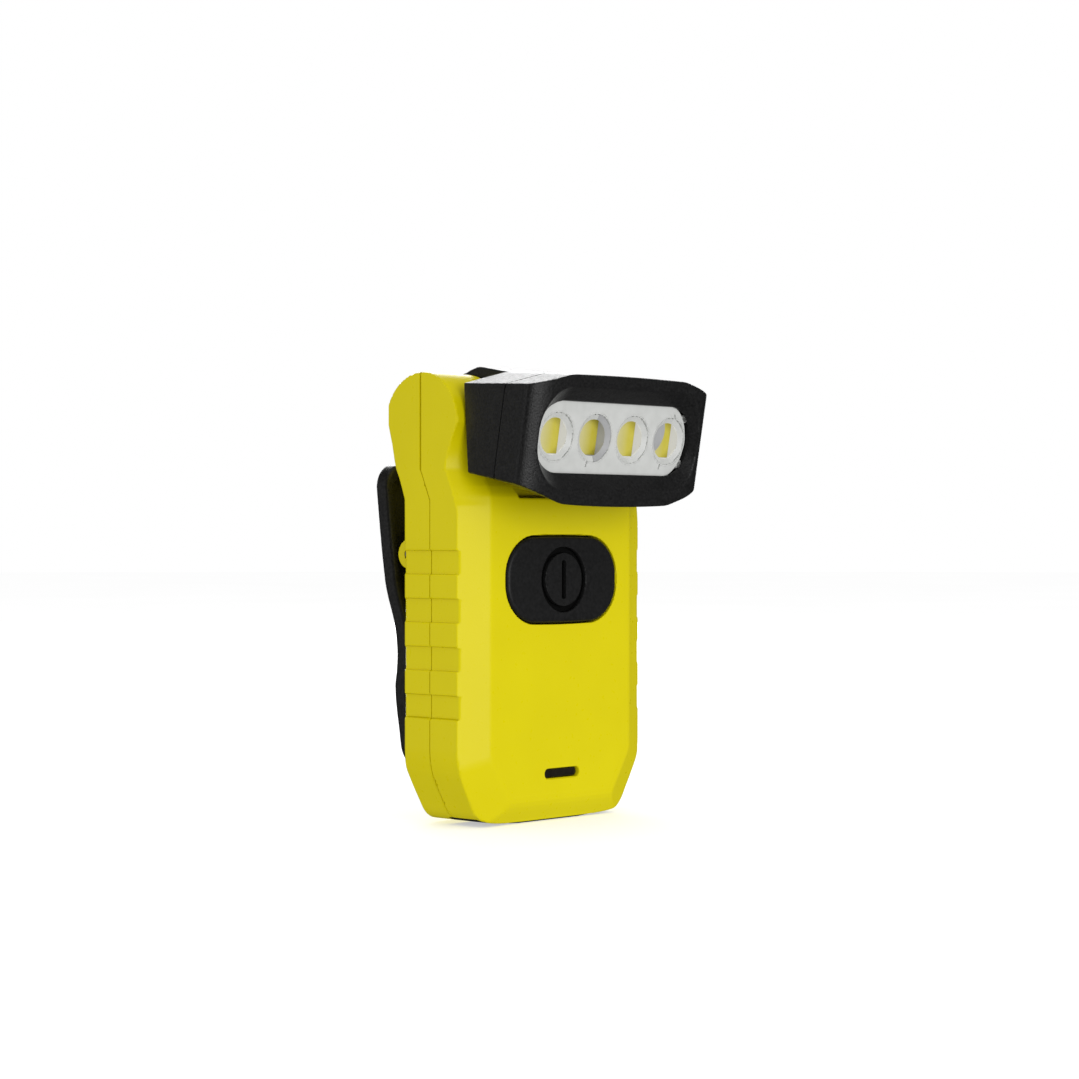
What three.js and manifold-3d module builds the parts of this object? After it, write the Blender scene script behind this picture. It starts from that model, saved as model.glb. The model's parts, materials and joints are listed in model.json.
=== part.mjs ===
// Firefighter flashlight: a flat clip-on case, a tilting four-LED head, a squeeze clip and a power button.
// Millimetres, +Z up, the beam side faces -Y, the origin is the middle of the flat base on the shell seam.
import * as THREE from "three";
import { mergeVertices } from "three/addons/utils/BufferGeometryUtils.js";
import Module from "manifold-3d";

const wasm = await Module();
wasm.setup();

// ---------------------------------------------------------------- driving dimensions
const CASE = {
  halfWidth: 27.5,
  front: -11.0,
  back: 10.5,
  sideFront: -7.8,
  sideBack: 7.35,
  chamfer: 6.6,
  bottomChamfer: 5.5,
  barrelRadius: 10.5,
  seamGap: 0.24,
};
const CAVITY = {
  wall: 2.2,
  chamfer: 4.9,
  front: -8.8,
  back: 7.0,
  sideFront: -6.0,
  sideBack: 5.0,
  bottom: 5.5,
  top: 66,
};
const HINGE = {
  y: 2.6,
  z: 81.5,
  tiltDeg: 10,
  pinRadius: 3,
  knuckleRadius: 11.3,
  knuckleTop: 12.4,
  knuckleHalf: 12.7,
  earInner: 14.1,
};
const GRIP = { count: 4, topZ: 53.5, pitch: 9.7, height: 4.75, depth: 0.5 };
const BUTTON = { z: 49.85, halfX: 16.5, halfZ: 8.95, corner: 7.6, face: -11.5 };
const SLOT = { z: 10, halfX: 5.2, halfZ: 1 };
const PIVOT = { y: 12, z: 55.1, lugRadius: 3.1, lugInner: 19, lugOuter: 22, pinRadius: 1 };
const SCREW = { x: 20, lowZ: 14.5, highZ: 70.8, headRadius: 2.3, shankRadius: 1.2 };
const OPTICS = { pitch: 11.38, z: 1.8, radius: 4.9, backRadius: 2.5, front: -26.1, back: -19.4 };
const CONTACT = { x: 8, y: -3.6, radius: 1.5 };
const BOARD = { halfX: 16.2, front: -4.2, back: -2.6, bottom: 8.2, top: 63.5 };

// ---------------------------------------------------------------- materials
function finish(color, roughness, metalness = 0) {
  return new THREE.MeshStandardMaterial({ color, roughness, metalness });
}

const YELLOW = finish(0xdccf05, 0.5);
const BLACK = finish(0x1c1c1d, 0.6);
const RUBBER = finish(0x141415, 0.85);
const CLEAR = finish(0xd8dcdc, 0.1);
const SMOKED = finish(0x2a2320, 0.15);
const PHOSPHOR = finish(0xe0cf48, 0.5);
const STEEL = finish(0xb9bcc0, 0.3, 1);
const BRASS = finish(0xc9a24a, 0.3, 1);
const ALUMINIUM = finish(0xc4c7ca, 0.4, 1);
const LAMINATE = finish(0x1f5b35, 0.5);
const FOIL = finish(0x5c6f86, 0.4);
const FOAM = finish(0x3a3a3c, 0.9);
const LEAD = finish(0xa22018, 0.6);
const GREY = finish(0xc9cac6, 0.45);

// ---------------------------------------------------------------- solids
// A closed three.js geometry as a manifold-3d solid.
function solid(geometry) {
  const bare = geometry.clone();
  bare.deleteAttribute("normal");
  bare.deleteAttribute("uv");
  const merged = mergeVertices(bare, 1e-4);
  const index = merged.index.array;
  const kept = [];
  for (let i = 0; i < index.length; i += 3) {
    const [a, b, c] = [index[i], index[i + 1], index[i + 2]];
    if (a !== b && b !== c && c !== a) kept.push(a, b, c);
  }
  const vertProperties = new Float32Array(merged.attributes.position.array);
  return new wasm.Manifold(new wasm.Mesh({ numProp: 3, vertProperties, triVerts: new Uint32Array(kept) }));
}

// A manifold-3d solid as a three.js geometry.
function geometryOf(body) {
  const mesh = body.getMesh();
  const geometry = new THREE.BufferGeometry();
  geometry.setAttribute("position", new THREE.BufferAttribute(mesh.vertProperties, 3));
  geometry.setIndex(new THREE.BufferAttribute(mesh.triVerts, 1));
  geometry.computeVertexNormals();
  return geometry;
}

const joined = (bodies) => bodies.reduce((all, body) => all.add(body));
const cut = (body, tools) => tools.reduce((left, tool) => left.subtract(tool), body);

// Extrudes an outline of [a, b] points; the basis says where a, b and the depth point.
function prism(outline, depth, aAxis, bAxis, depthAxis, start) {
  const shape = new THREE.Shape(outline.map(([a, b]) => new THREE.Vector2(a, b)));
  const geometry = new THREE.ExtrudeGeometry(shape, { depth, bevelEnabled: false, curveSegments: 1 });
  geometry.applyMatrix4(new THREE.Matrix4().makeBasis(aAxis, bAxis, depthAxis));
  geometry.translate(start.x, start.y, start.z);
  return solid(geometry);
}

const X = new THREE.Vector3(1, 0, 0);
const Y = new THREE.Vector3(0, 1, 0);
const Z = new THREE.Vector3(0, 0, 1);
const BACKWARD = new THREE.Vector3(0, -1, 0);

const prismX = (yz, x0, x1) => prism(yz, x1 - x0, Y, Z, X, new THREE.Vector3(x0, 0, 0));
const prismY = (xz, y0, y1) => prism(xz, y1 - y0, X, Z, BACKWARD, new THREE.Vector3(0, y1, 0));
const prismZ = (xy, z0, z1) => prism(xy, z1 - z0, X, Y, Z, new THREE.Vector3(0, 0, z0));

function box(x0, x1, y0, y1, z0, z1) {
  const geometry = new THREE.BoxGeometry(x1 - x0, y1 - y0, z1 - z0);
  geometry.translate((x0 + x1) / 2, (y0 + y1) / 2, (z0 + z1) / 2);
  return solid(geometry);
}

function arc(a, b, radius, fromDeg, toDeg, steps) {
  const points = [];
  for (let i = 0; i <= steps; i++) {
    const angle = THREE.MathUtils.degToRad(fromDeg + ((toDeg - fromDeg) * i) / steps);
    points.push([a + radius * Math.cos(angle), b + radius * Math.sin(angle)]);
  }
  return points;
}

const ring = (a, b, radius, sides) => arc(a, b, radius, 0, 360 - 360 / sides, sides - 1);
const rodX = (y, z, radius, x0, x1, sides = 24) => prismX(ring(y, z, radius, sides), x0, x1);
const rodY = (x, z, radius, y0, y1, sides = 20) => prismY(ring(x, z, radius, sides), y0, y1);
const rodZ = (x, y, radius, z0, z1, sides = 16) => prismZ(ring(x, y, radius, sides), z0, z1);

// A rounded rectangle from a0..a1 by b0..b1.
function rounded(a0, a1, b0, b1, radius, steps = 5) {
  return [
    ...arc(a1 - radius, b0 + radius, radius, -90, 0, steps),
    ...arc(a1 - radius, b1 - radius, radius, 0, 90, steps),
    ...arc(a0 + radius, b1 - radius, radius, 90, 180, steps),
    ...arc(a0 + radius, b0 + radius, radius, 180, 270, steps),
  ];
}

// A closed skin through sections, each a list of the same number of [x, y, z] points, ends included.
function loft(sections) {
  const count = sections[0].length;
  const points = sections.flat();
  const index = [];
  for (let s = 0; s + 1 < sections.length; s++) {
    for (let i = 0; i < count; i++) {
      const j = (i + 1) % count;
      const [a, b, c, d] = [s * count + i, s * count + j, (s + 1) * count + j, (s + 1) * count + i];
      index.push(a, c, b, a, d, c);
    }
  }
  const last = (sections.length - 1) * count;
  for (let i = 1; i + 1 < count; i++) {
    index.push(0, i, i + 1);
    index.push(last, last + i + 1, last + i);
  }
  const geometry = new THREE.BufferGeometry();
  geometry.setAttribute("position", new THREE.Float32BufferAttribute(points.flat(), 3));
  geometry.setIndex(index);
  const body = solid(geometry);
  return body.volume() > 0 ? body : solid(flipped(geometry));
}

function flipped(geometry) {
  const index = geometry.index.array;
  for (let i = 0; i < index.length; i += 3) [index[i + 1], index[i + 2]] = [index[i + 2], index[i + 1]];
  return geometry;
}

// A round wire along a curve.
function wire(points, radius, sides, steps) {
  const curve = new THREE.CatmullRomCurve3(points.map((p) => new THREE.Vector3(...p)));
  const shape = new THREE.Shape(ring(0, 0, radius, sides).map(([a, b]) => new THREE.Vector2(a, b)));
  return new THREE.ExtrudeGeometry(shape, { steps, bevelEnabled: false, extrudePath: curve });
}

// A turned piece: [radius, height] profile that starts and ends on its axis, laid along +Y.
function turned(profile, sides) {
  const geometry = new THREE.LatheGeometry(profile.map(([r, h]) => new THREE.Vector2(r, h)), sides);
  return solid(geometry);
}

const mirrorX = (outline) => [...outline, ...outline.slice().reverse().map(([x, z]) => [-x, z])];
const bothSides = (make) => [make(-1), make(1)];

const root = new THREE.Group();
const caseGroup = new THREE.Group();
const buttonGroup = new THREE.Group();
const clipGroup = new THREE.Group();
const headGroup = new THREE.Group();
headGroup.position.set(0, HINGE.y, HINGE.z);
headGroup.rotation.x = THREE.MathUtils.degToRad(HINGE.tiltDeg);
root.add(caseGroup, buttonGroup, clipGroup, headGroup);

// The stretch of X from a to b on the side s, in rising order.
const spanX = (s, a, b) => (s > 0 ? [a, b] : [-b, -a]);

function place(group, name, body, material) {
  const mesh = new THREE.Mesh(body.isBufferGeometry ? body : geometryOf(body), material);
  mesh.name = name;
  group.add(mesh);
}

// ---------------------------------------------------------------- case
// The outline over the front of the case: a nearly flat foot, cut corners and straight sides.
function frontOutline(inset) {
  const w = CASE.halfWidth;
  const half = [[9, 0], [13.6, 0.33], [17.5, 0.65], [19.6, 1.1], [20.9, 1.8], [22.1, 2.9], [23.4, 4.9],
    [26.0, 9.3], [26.9, 11.4], [27.35, 13.6], [w, 15.5], [w, 93]];
  return mirrorX(half.map(([x, z]) => [x - inset, z + inset]));
}

// The side outline at the side faces and at the middle. Each row holds the two, as y, z, y, z.
function sideSections() {
  const front = [
    [-7.8, 0, -7.8, 0],
    [-7.8, CASE.bottomChamfer, CASE.front, CASE.bottomChamfer],
    [-7.8, 60, CASE.front, 63],
    [-7.6, 64.6, -10.9, 66.5],
    [-7.1, 66, -10.2, 68.6],
    [-6.2, 68.4, -9.2, 70.3],
    [-5.1, 70.8, -8.4, 72],
    [-4.5, 72.6, -8.0, 73.8],
    [-4.75, 74.55, -7.85, 75.6],
    [-6.0, 77.9, -7.85, 78.4],
  ];
  const barrel = arc(HINGE.y, HINGE.z, CASE.barrelRadius, 180, 0, 24).map(([y, z]) => {
    const side = Math.min(Math.max(y, -7.1), 12.2);
    return [side, z, y, z];
  });
  const back = [
    [11.1, 77.5, 12.3, 77.5],
    [10.05, 72.9, 11.4, 72.9],
    [8.87, 70.3, 10.9, 70.3],
    [7.8, 67.4, 10.6, 67.4],
    [7.4, 66.1, CASE.back, 65],
    [CASE.sideBack, 60, CASE.back, 60],
    [CASE.sideBack, CASE.bottomChamfer, CASE.back, CASE.bottomChamfer],
    [CASE.sideBack, 0, CASE.sideBack, 0],
  ];
  const pairs = [...front, ...barrel, ...back];
  return { side: pairs.map(([y, z]) => [y, z]), middle: pairs.map(([, , y, z]) => [y, z]) };
}

// A rectangle seen from above, with its four corners cut: half width w at the sides and c at the faces.
function chamferedPlan(w, c, sideFront, front, sideBack, back) {
  return [
    [-w, sideFront], [-c, front], [c, front], [w, sideFront],
    [w, sideBack], [c, back], [-c, back], [-w, sideBack],
  ];
}

// The body before its cuts: a loft up the case whose sections are chamfered rectangles.
function caseEnvelope() {
  const { side, middle } = sideSections();
  const [w, c] = [CASE.halfWidth, CASE.halfWidth - CASE.chamfer];
  const heights = [...side, ...middle].map(([, z]) => Math.round(z * 1000) / 1000);
  const levels = [...new Set(heights)].sort((a, b) => a - b);
  levels[levels.length - 1] -= 0.001;
  return loft(levels.map((z) => {
    const [sideFront, sideBack] = depthAt(side, z);
    const [front, back] = depthAt(middle, z);
    return chamferedPlan(w, c, sideFront, front, sideBack, back).map(([x, y]) => [x, y, z]);
  }));
}

// The lowest and highest y of a closed [y, z] outline at height z.
function depthAt(outline, z) {
  const hits = [];
  for (let i = 0; i < outline.length; i++) {
    const [y0, z0] = outline[i];
    const [y1, z1] = outline[(i + 1) % outline.length];
    if ((z0 <= z && z <= z1) || (z1 <= z && z <= z0)) {
      hits.push(z0 === z1 ? y0 : y0 + ((y1 - y0) * (z - z0)) / (z1 - z0));
      if (z0 === z1) hits.push(y1);
    }
  }
  return [Math.min(...hits), Math.max(...hits)];
}

// What the chamfer along a cut lower corner removes: a wedge along the corner's edge, or inset from it.
function cornerChamfer(s, ySide, yFace, run, inset) {
  const [x0, z0, x1, z1] = [21.6, 2.4, 26.5, 10.3];
  const out = new THREE.Vector3(s * (z1 - z0), 0, x0 - x1).normalize();
  const depth = out.clone().cross(Y);
  const length = 24;
  const start = new THREE.Vector3((s * (x0 + x1)) / 2, 0, (z0 + z1) / 2);
  start.addScaledVector(depth, -length / 2).addScaledVector(out, -inset);
  const rise = yFace - ySide;
  const wedge = [
    [2 * run, ySide - 2 * rise],
    [-1.5 * run, ySide + 1.5 * rise],
    [2 * run, ySide + 1.5 * rise],
  ];
  const isClockWise = THREE.ShapeUtils.isClockWise(wedge.map(([a, b]) => new THREE.Vector2(a, b)));
  return prism(isClockWise ? wedge.reverse() : wedge, length, out, Y, depth, start);
}

function cornerChamfers(sideFront, front, sideBack, back, run, inset) {
  return [-1, 1].flatMap((s) => [
    cornerChamfer(s, sideFront, front, run, inset),
    cornerChamfer(s, sideBack, back, run, inset),
  ]);
}

// The seam between the shells, straight up the case and then over to the hinge axis.
function seamOutline(y0Offset, farY) {
  const seam = [[0, -1], [0, 66], [HINGE.y, 72], [HINGE.y, 95]].map(([y, z]) => [y + y0Offset, z]);
  return farY > 0 ? [[farY, -1], [farY, 95], ...seam.reverse()] : [...seam, [farY, 95], [farY, -1]];
}

function gripGrooves(s) {
  const grooves = [];
  const wall = CASE.halfWidth;
  for (let i = 0; i < GRIP.count; i++) {
    const z = GRIP.topZ - i * GRIP.pitch;
    const [z0, z1] = [z - GRIP.height / 2, z + GRIP.height / 2];
    const [x0, x1] = s > 0 ? [wall - GRIP.depth, wall + 2] : [-wall - 2, GRIP.depth - wall];
    grooves.push(box(x0, x1, -13, 13, z0, z1));
  }
  return grooves;
}

function caseCavity() {
  const { wall, chamfer, front, back, sideFront, sideBack } = CAVITY;
  const w = CASE.halfWidth - wall;
  const plan = chamferedPlan(w, w - chamfer, sideFront, front, sideBack, back);
  const room = prismZ(plan, CAVITY.bottom, CAVITY.top).intersect(prismY(frontOutline(wall), -20, 20));
  return cut(room, cornerChamfers(sideFront, front, sideBack, back, chamfer, wall));
}

// What the head's knuckle turns in, and the recess in front of it.
function saddle() {
  const e = HINGE.earInner;
  const notch = [[-12.6, 66.6], [12.6, 66.6], [13.6, 68.3], [13.6, 80], [-13.6, 80], [-13.6, 68.3]];
  return joined([
    rodX(HINGE.y, HINGE.z, HINGE.knuckleTop + 0.4, -e, e, 40),
    box(-e, e, -20, 20, HINGE.z, 95),
    prismY(notch, -14, -6.8),
  ]);
}

const screwPlaces = [SCREW.lowZ, SCREW.highZ].flatMap((z) => bothSides((s) => [s * SCREW.x, z]));

const baseInsertOpening = box(-20.5, 20.5, -7.5, 2.2, -1, 6.0);
const pinBore = (s) => rodX(HINGE.y, HINGE.z, HINGE.pinRadius + 0.15, ...spanX(s, 13, 24.5), 20);
const leadHole = box(-3.2, 3.2, -1.5, 5.5, 64, 71);

function wholeCase() {
  const corners = cornerChamfers(CASE.sideFront, CASE.front, CASE.sideBack, CASE.back, CASE.chamfer, 0);
  const outside = cut(caseEnvelope().intersect(prismY(frontOutline(0), -20, 20)), corners);
  const grooves = [...gripGrooves(-1), ...gripGrooves(1)];
  return cut(outside, [...grooves, saddle(), baseInsertOpening, ...bothSides(pinBore), leadHole]);
}

const outsideOfCase = wholeCase();
const hollowCase = outsideOfCase.subtract(caseCavity());
const posts = (y0, y1) => joined(bothSides((s) => rodY(s * SCREW.x, SCREW.lowZ, 3.1, y0, y1, 14)));

// The seal's run inside the shells; inset narrows it to the inner edge.
function sealOutline(inset) {
  const side = 24.9 - inset;
  return mirrorX([
    [20.6 - 0.6 * inset, 7.2 + inset],
    [side - 1.3, 11.6 + 0.5 * inset],
    [side, 15.5],
    [side, 63.6 - inset],
  ]);
}

function frontShell() {
  const side = hollowCase.intersect(prismX(seamOutline(-CASE.seamGap / 2, -20), -30, 30));
  const body = side.add(posts(-9, -CASE.seamGap / 2).intersect(outsideOfCase));
  const buttonHole = prismY(rounded(-16.8, 16.8, BUTTON.z - 9.25, BUTTON.z + 9.25, 7.9, 6), -14, -8);
  const { z, halfX, halfZ } = SLOT;
  const slot = prismY(rounded(-halfX, halfX, z - halfZ, z + halfZ, 0.95, 3), -14, -8);
  const bores = screwPlaces.map(([x, z]) => rodY(x, z, SCREW.shankRadius + 0.15, -6.6, 20, 12));
  return cut(body, [buttonHole, slot, ...bores]);
}

// The two cheeks that hold the clip pin.
function lug(s) {
  const [x0, x1] = spanX(s, PIVOT.lugInner, PIVOT.lugOuter);
  const round = rodX(PIVOT.y, PIVOT.z, PIVOT.lugRadius, x0, x1, 24);
  const root = box(x0, x1, 7.2, PIVOT.y, PIVOT.z - PIVOT.lugRadius, PIVOT.z + PIVOT.lugRadius);
  return round.add(root);
}

function rearShell() {
  const side = hollowCase.intersect(prismX(seamOutline(CASE.seamGap / 2, 30), -30, 30));
  const body = joined([side, posts(CASE.seamGap / 2, 8), lug(-1), lug(1)]);
  const bores = screwPlaces.map(([x, z]) => rodY(x, z, SCREW.shankRadius + 0.25, -6.6, 9, 12));
  const sinks = screwPlaces.map(([x, z]) => rodY(x, z, SCREW.headRadius + 0.3, 8.5, 14, 16));
  const pocket = box(-17.4, 17.4, 8.9, 12, PIVOT.z - 3.3, PIVOT.z + 3.3);
  const pinBore = rodX(PIVOT.y, PIVOT.z, PIVOT.pinRadius + 0.1, -23, 23, 16);
  return cut(body, [...bores, ...sinks, pocket, pinBore]);
}

// The gasket that lies along the seam inside the two shells.
const caseSeal = () => prismY(sealOutline(0), -1.1, 1.1).subtract(prismY(sealOutline(1.2), -2, 2));

function baseInsert() {
  const foot = box(-20.25, 20.25, -7.25, 2.0, -1, 5.9).intersect(prismY(frontOutline(0), -20, 20));
  const flange = box(-15.4, 15.4, -8.2, 2.9, 5.8, 6.9);
  const bores = bothSides((s) => rodZ(s * CONTACT.x, CONTACT.y, CONTACT.radius + 0.15, -1, 9));
  return cut(foot.add(flange), bores);
}

const chargeContact = (s) => rodZ(s * CONTACT.x, CONTACT.y, CONTACT.radius, 0.3, 7.9)
  .add(rodZ(s * CONTACT.x, CONTACT.y, CONTACT.radius + 0.7, 7.1, 7.9));

function statusWindow() {
  const light = rounded(-SLOT.halfX + 0.15, SLOT.halfX - 0.15, SLOT.z - 0.85, SLOT.z + 0.85, 0.8, 3);
  const flange = rounded(-6.6, 6.6, SLOT.z - 1.9, SLOT.z + 1.9, 0.9, 2);
  return prismY(light, -10.2, -8.5).add(prismY(flange, -8.6, -7.8));
}

// The circuit board stands behind the front shell, between the case screws, with its lower corners cut.
function mainBoard() {
  const { halfX: w, bottom, top } = BOARD;
  const outline = mirrorX([[w - 2, bottom], [w, bottom + 2], [w, top]]);
  return prismY(outline, BOARD.front, BOARD.back);
}

function switchBase() {
  const can = box(-3, 3, -6, BOARD.front - 0.05, BUTTON.z - 3, BUTTON.z + 3);
  return can.subtract(rodY(0, BUTTON.z, 1.85, -7, -4.45, 16));
}

function driverCoil() {
  return rodY(-10.5, 30, 3.4, -7.4, BOARD.front - 0.05, 20);
}

function caseScrew([x, z]) {
  const head = rodY(x, z, SCREW.headRadius, 8.6, 10.1, 16);
  const shank = rodY(x, z, SCREW.shankRadius, -5.5, 8.7, 12);
  const recess = rodY(x, z, 1.05, 9.2, 11, 6);
  return head.add(shank).subtract(recess);
}

// The lead to the head, as [y, z] up the middle of the case.
const headLeadRoute = [
  [-3.4, 64.6], [-2.0, 64.9], [1.2, 65.3], [2.2, 67.5], [2.5, 70.5], [2.6, 74.5], [1.5, 77.5],
].map(([y, z]) => [0, y, z]);
const batteryLeadRoute = [[2, 62.3], [2, 64.3], [-1.2, 64.9], [-4.2, 64.9]];
const batteryLead = (x) => wire(batteryLeadRoute.map(([y, z]) => [x, y, z]), 0.55, 6, 10);

function buildCase() {
  place(caseGroup, "front_shell", frontShell(), YELLOW);
  place(caseGroup, "rear_shell", rearShell(), YELLOW);
  place(caseGroup, "case_seal", caseSeal(), RUBBER);
  place(caseGroup, "base_insert", baseInsert(), BLACK);
  place(caseGroup, "charge_contact_left", chargeContact(-1), BRASS);
  place(caseGroup, "charge_contact_right", chargeContact(1), BRASS);
  place(caseGroup, "status_window", statusWindow(), SMOKED);
  place(caseGroup, "status_led", box(-1, 1, -5.2, BOARD.front - 0.05, 9.4, 10.6), PHOSPHOR);
  place(caseGroup, "main_board", mainBoard(), LAMINATE);
  place(caseGroup, "switch_base", switchBase(), BLACK);
  place(caseGroup, "driver_chip", box(4.5, 11.5, -5.5, BOARD.front - 0.05, 26, 33), BLACK);
  place(caseGroup, "driver_coil", driverCoil(), FOAM);
  place(caseGroup, "battery_cell", prismZ(rounded(-16, 16, -1.9, 6.2, 3.2, 5), 13, 61), FOIL);
  place(caseGroup, "battery_pad", box(-12, 12, 6.3, 6.9, 18, 56), FOAM);
  place(caseGroup, "battery_lead_plus", batteryLead(-9), LEAD);
  place(caseGroup, "battery_lead_minus", batteryLead(-6.5), BLACK);
  place(caseGroup, "head_lead", wire(headLeadRoute, 1.1, 8, 14), BLACK);
  screwPlaces.forEach((at, i) => place(caseGroup, `case_screw_${i + 1}`, caseScrew(at), STEEL));
}

// ---------------------------------------------------------------- power button
function powerButton() {
  const { z, halfX, halfZ, corner, face } = BUTTON;
  const cap = prismY(rounded(-halfX, halfX, z - halfZ, z + halfZ, corner, 6), face, -7.5);
  const flange = prismY(rounded(-17.6, 17.6, z - 10.3, z + 10.3, 8.6, 6), -7.9, -7.2);
  const symbolDisc = rodY(0, z, 6.85, face - 1, face + 0.5, 28);
  const symbolRing = symbolDisc.subtract(rodY(0, z, 5.5, face - 2, face + 1, 28));
  const symbolBar = box(-0.6, 0.6, face - 1, face + 0.5, z - 3.95, z + 3.95);
  return cut(cap.add(flange), [symbolRing, symbolBar]);
}

// The gasket that the button's flange meets from inside.
function buttonSeal() {
  const outer = prismY(rounded(-19.4, 19.4, BUTTON.z - 11.8, BUTTON.z + 11.8, 9.6, 6), -8.6, -8.1);
  return outer.subtract(prismY(rounded(-17, 17, BUTTON.z - 9.7, BUTTON.z + 9.7, 8, 6), -9, -7));
}

function buildButton() {
  place(caseGroup, "button_seal", buttonSeal(), RUBBER);
  place(buttonGroup, "power_button", powerButton(), RUBBER);
  place(buttonGroup, "switch_stem", rodY(0, BUTTON.z, 1.7, -6.9, -5.4, 16), GREY);
}

// ---------------------------------------------------------------- hinge
const hingePin = (s) => rodX(HINGE.y, HINGE.z, HINGE.pinRadius, ...spanX(s, 7.2, 24.2), 20);

function frictionWasher(s) {
  const washer = rodX(HINGE.y, HINGE.z, 8.5, ...spanX(s, 13, 13.8), 24);
  return washer.subtract(rodX(HINGE.y, HINGE.z, HINGE.pinRadius + 0.2, -15, 15, 20));
}

function buildHinge() {
  for (const [s, side] of [[-1, "left"], [1, "right"]]) {
    place(caseGroup, `hinge_pin_${side}`, hingePin(s), STEEL);
    place(caseGroup, `friction_washer_${side}`, frictionWasher(s), RUBBER);
  }
}

// ---------------------------------------------------------------- clip
// The clip from the side: a thumb plate, a bend in to the case, and a tongue that leans on it.
const clipOuter = [
  [22.6, 74], [19.45, 49.6], [18.6, 46.4], [17.55, 43.6], [16.6, 40.8], [15.95, 37.5],
  [15.7, 34.2], [15.9, 30.8], [16.35, 27.8], [14.75, 16.2], [14.1, 10],
];

const shiftedIn = (outline, by) => outline.map(([y, z]) => [y - by, z]);

function clipLever() {
  const edge = 3.7;
  const plate = 2.2;
  const slab = prismX([...clipOuter, ...shiftedIn(clipOuter, edge * 0.97).reverse()].reverse(), -22, 22);
  const face = [[-22, 10], ...arc(-16, 16, 6, 180, 270, 5), ...arc(16, 16, 6, 270, 360, 5),
    ...arc(16.5, 68.5, 5.5, 0, 90, 5), ...arc(-16.5, 68.5, 5.5, 90, 180, 5)].slice(1);
  const pocketSide = [...shiftedIn(clipOuter, plate), ...shiftedIn(clipOuter, 8).reverse()].reverse();
  const pocket = prismX(pocketSide, -20.2, 20.2).intersect(box(-30, 30, 0, 40, 31, 71));
  const webs = bothSides((s) => clipWeb(...spanX(s, 12.2, 16.2)));
  const bore = rodX(PIVOT.y, PIVOT.z, PIVOT.pinRadius + 0.12, -18, 18, 16);
  return cut(joined([slab.intersect(prismY(face, 0, 40)).subtract(pocket), ...webs]), [bore]);
}

function clipWeb(x0, x1) {
  const eye = rodX(PIVOT.y, PIVOT.z, 2.6, x0, x1, 20);
  const neck = prismX([[11.2, 57.6], [13.2, 52.6], [18.3, 50.6], [19.3, 61.0]], x0, x1);
  return eye.add(neck);
}

const clipPin = () => rodX(PIVOT.y, PIVOT.z, PIVOT.pinRadius, -21.7, 21.7, 16);

// The torsion spring on the clip pin, one leg on the case and one on the clip.
function clipSpring() {
  const halfLength = 3.9;
  const radius = 1.75;
  const [turns, perTurn] = [7, 12];
  const steps = turns * perTurn;
  const points = [[-halfLength, 11.15, 46.5], [-halfLength, 11.2, 50.4], [-halfLength, 10.7, 52.8]];
  for (let i = 0; i <= steps; i++) {
    const angle = (2 * Math.PI * i) / perTurn + Math.PI;
    const x = halfLength * ((2 * i) / steps - 1);
    points.push([x, PIVOT.y + radius * Math.cos(angle), PIVOT.z - radius * Math.sin(angle)]);
  }
  points.push([halfLength, 12.6, 59.5], [halfLength, 16.4, 64.5]);
  return wire(points, 0.42, 5, 130);
}

function buildClip() {
  place(clipGroup, "clip_lever", clipLever(), BLACK);
  place(caseGroup, "clip_pin", clipPin(), STEEL);
  place(caseGroup, "clip_spring", clipSpring(), STEEL);
}

// ---------------------------------------------------------------- head, in its own frame on the hinge axis
const HEAD = {
  rear: {
    y: -9, half: 25.5, topSide: 9.6, top: 12.4, topHalf: 13.5, lowSide: -7.9, low: -8.3, lowHalf: 15,
  },
  rim: {
    y: -30.7, half: 27.3, topSide: 12.2, top: 14.6, topHalf: 17.3, lowSide: -7.9, low: -11.3, lowHalf: 16.3,
  },
  parting: -21.2,
  partingGap: 0.2,
};

// The eight-sided outline of the head at depth y; pulled is how far the side faces are drawn in.
function headOutline(y, pulled = 0) {
  const t = (y - HEAD.rear.y) / (HEAD.rim.y - HEAD.rear.y);
  const at = (key) => HEAD.rear[key] + (HEAD.rim[key] - HEAD.rear[key]) * t;
  const w = at("half") - pulled;
  const onFacet = (inner, zInner, zOuter) =>
    zInner + ((w - inner) / (at("half") - inner)) * (zOuter - zInner);
  const topZ = onFacet(at("topHalf"), at("top"), at("topSide"));
  const lowZ = onFacet(at("lowHalf"), at("low"), at("lowSide"));
  const right = [[at("lowHalf"), at("low")], [w, lowZ], [w, topZ], [at("topHalf"), at("top")]];
  return mirrorX(right).map(([x, z]) => [x, y, z]);
}

// The back of the side wings is a plane that just clears the case's barrel.
const wingBack = [[-8.6 + 0.263 * 3, 12.6], [-13.2 - 0.263 * 4, -11.9], [14, -11.9 - 3], [14, 16]];
const underCut = [[-15.7, -8.4 - 3], [-15.7, -8.4], [-12.0, -4.7], [8, -4.7], [8, -11.4]];

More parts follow.
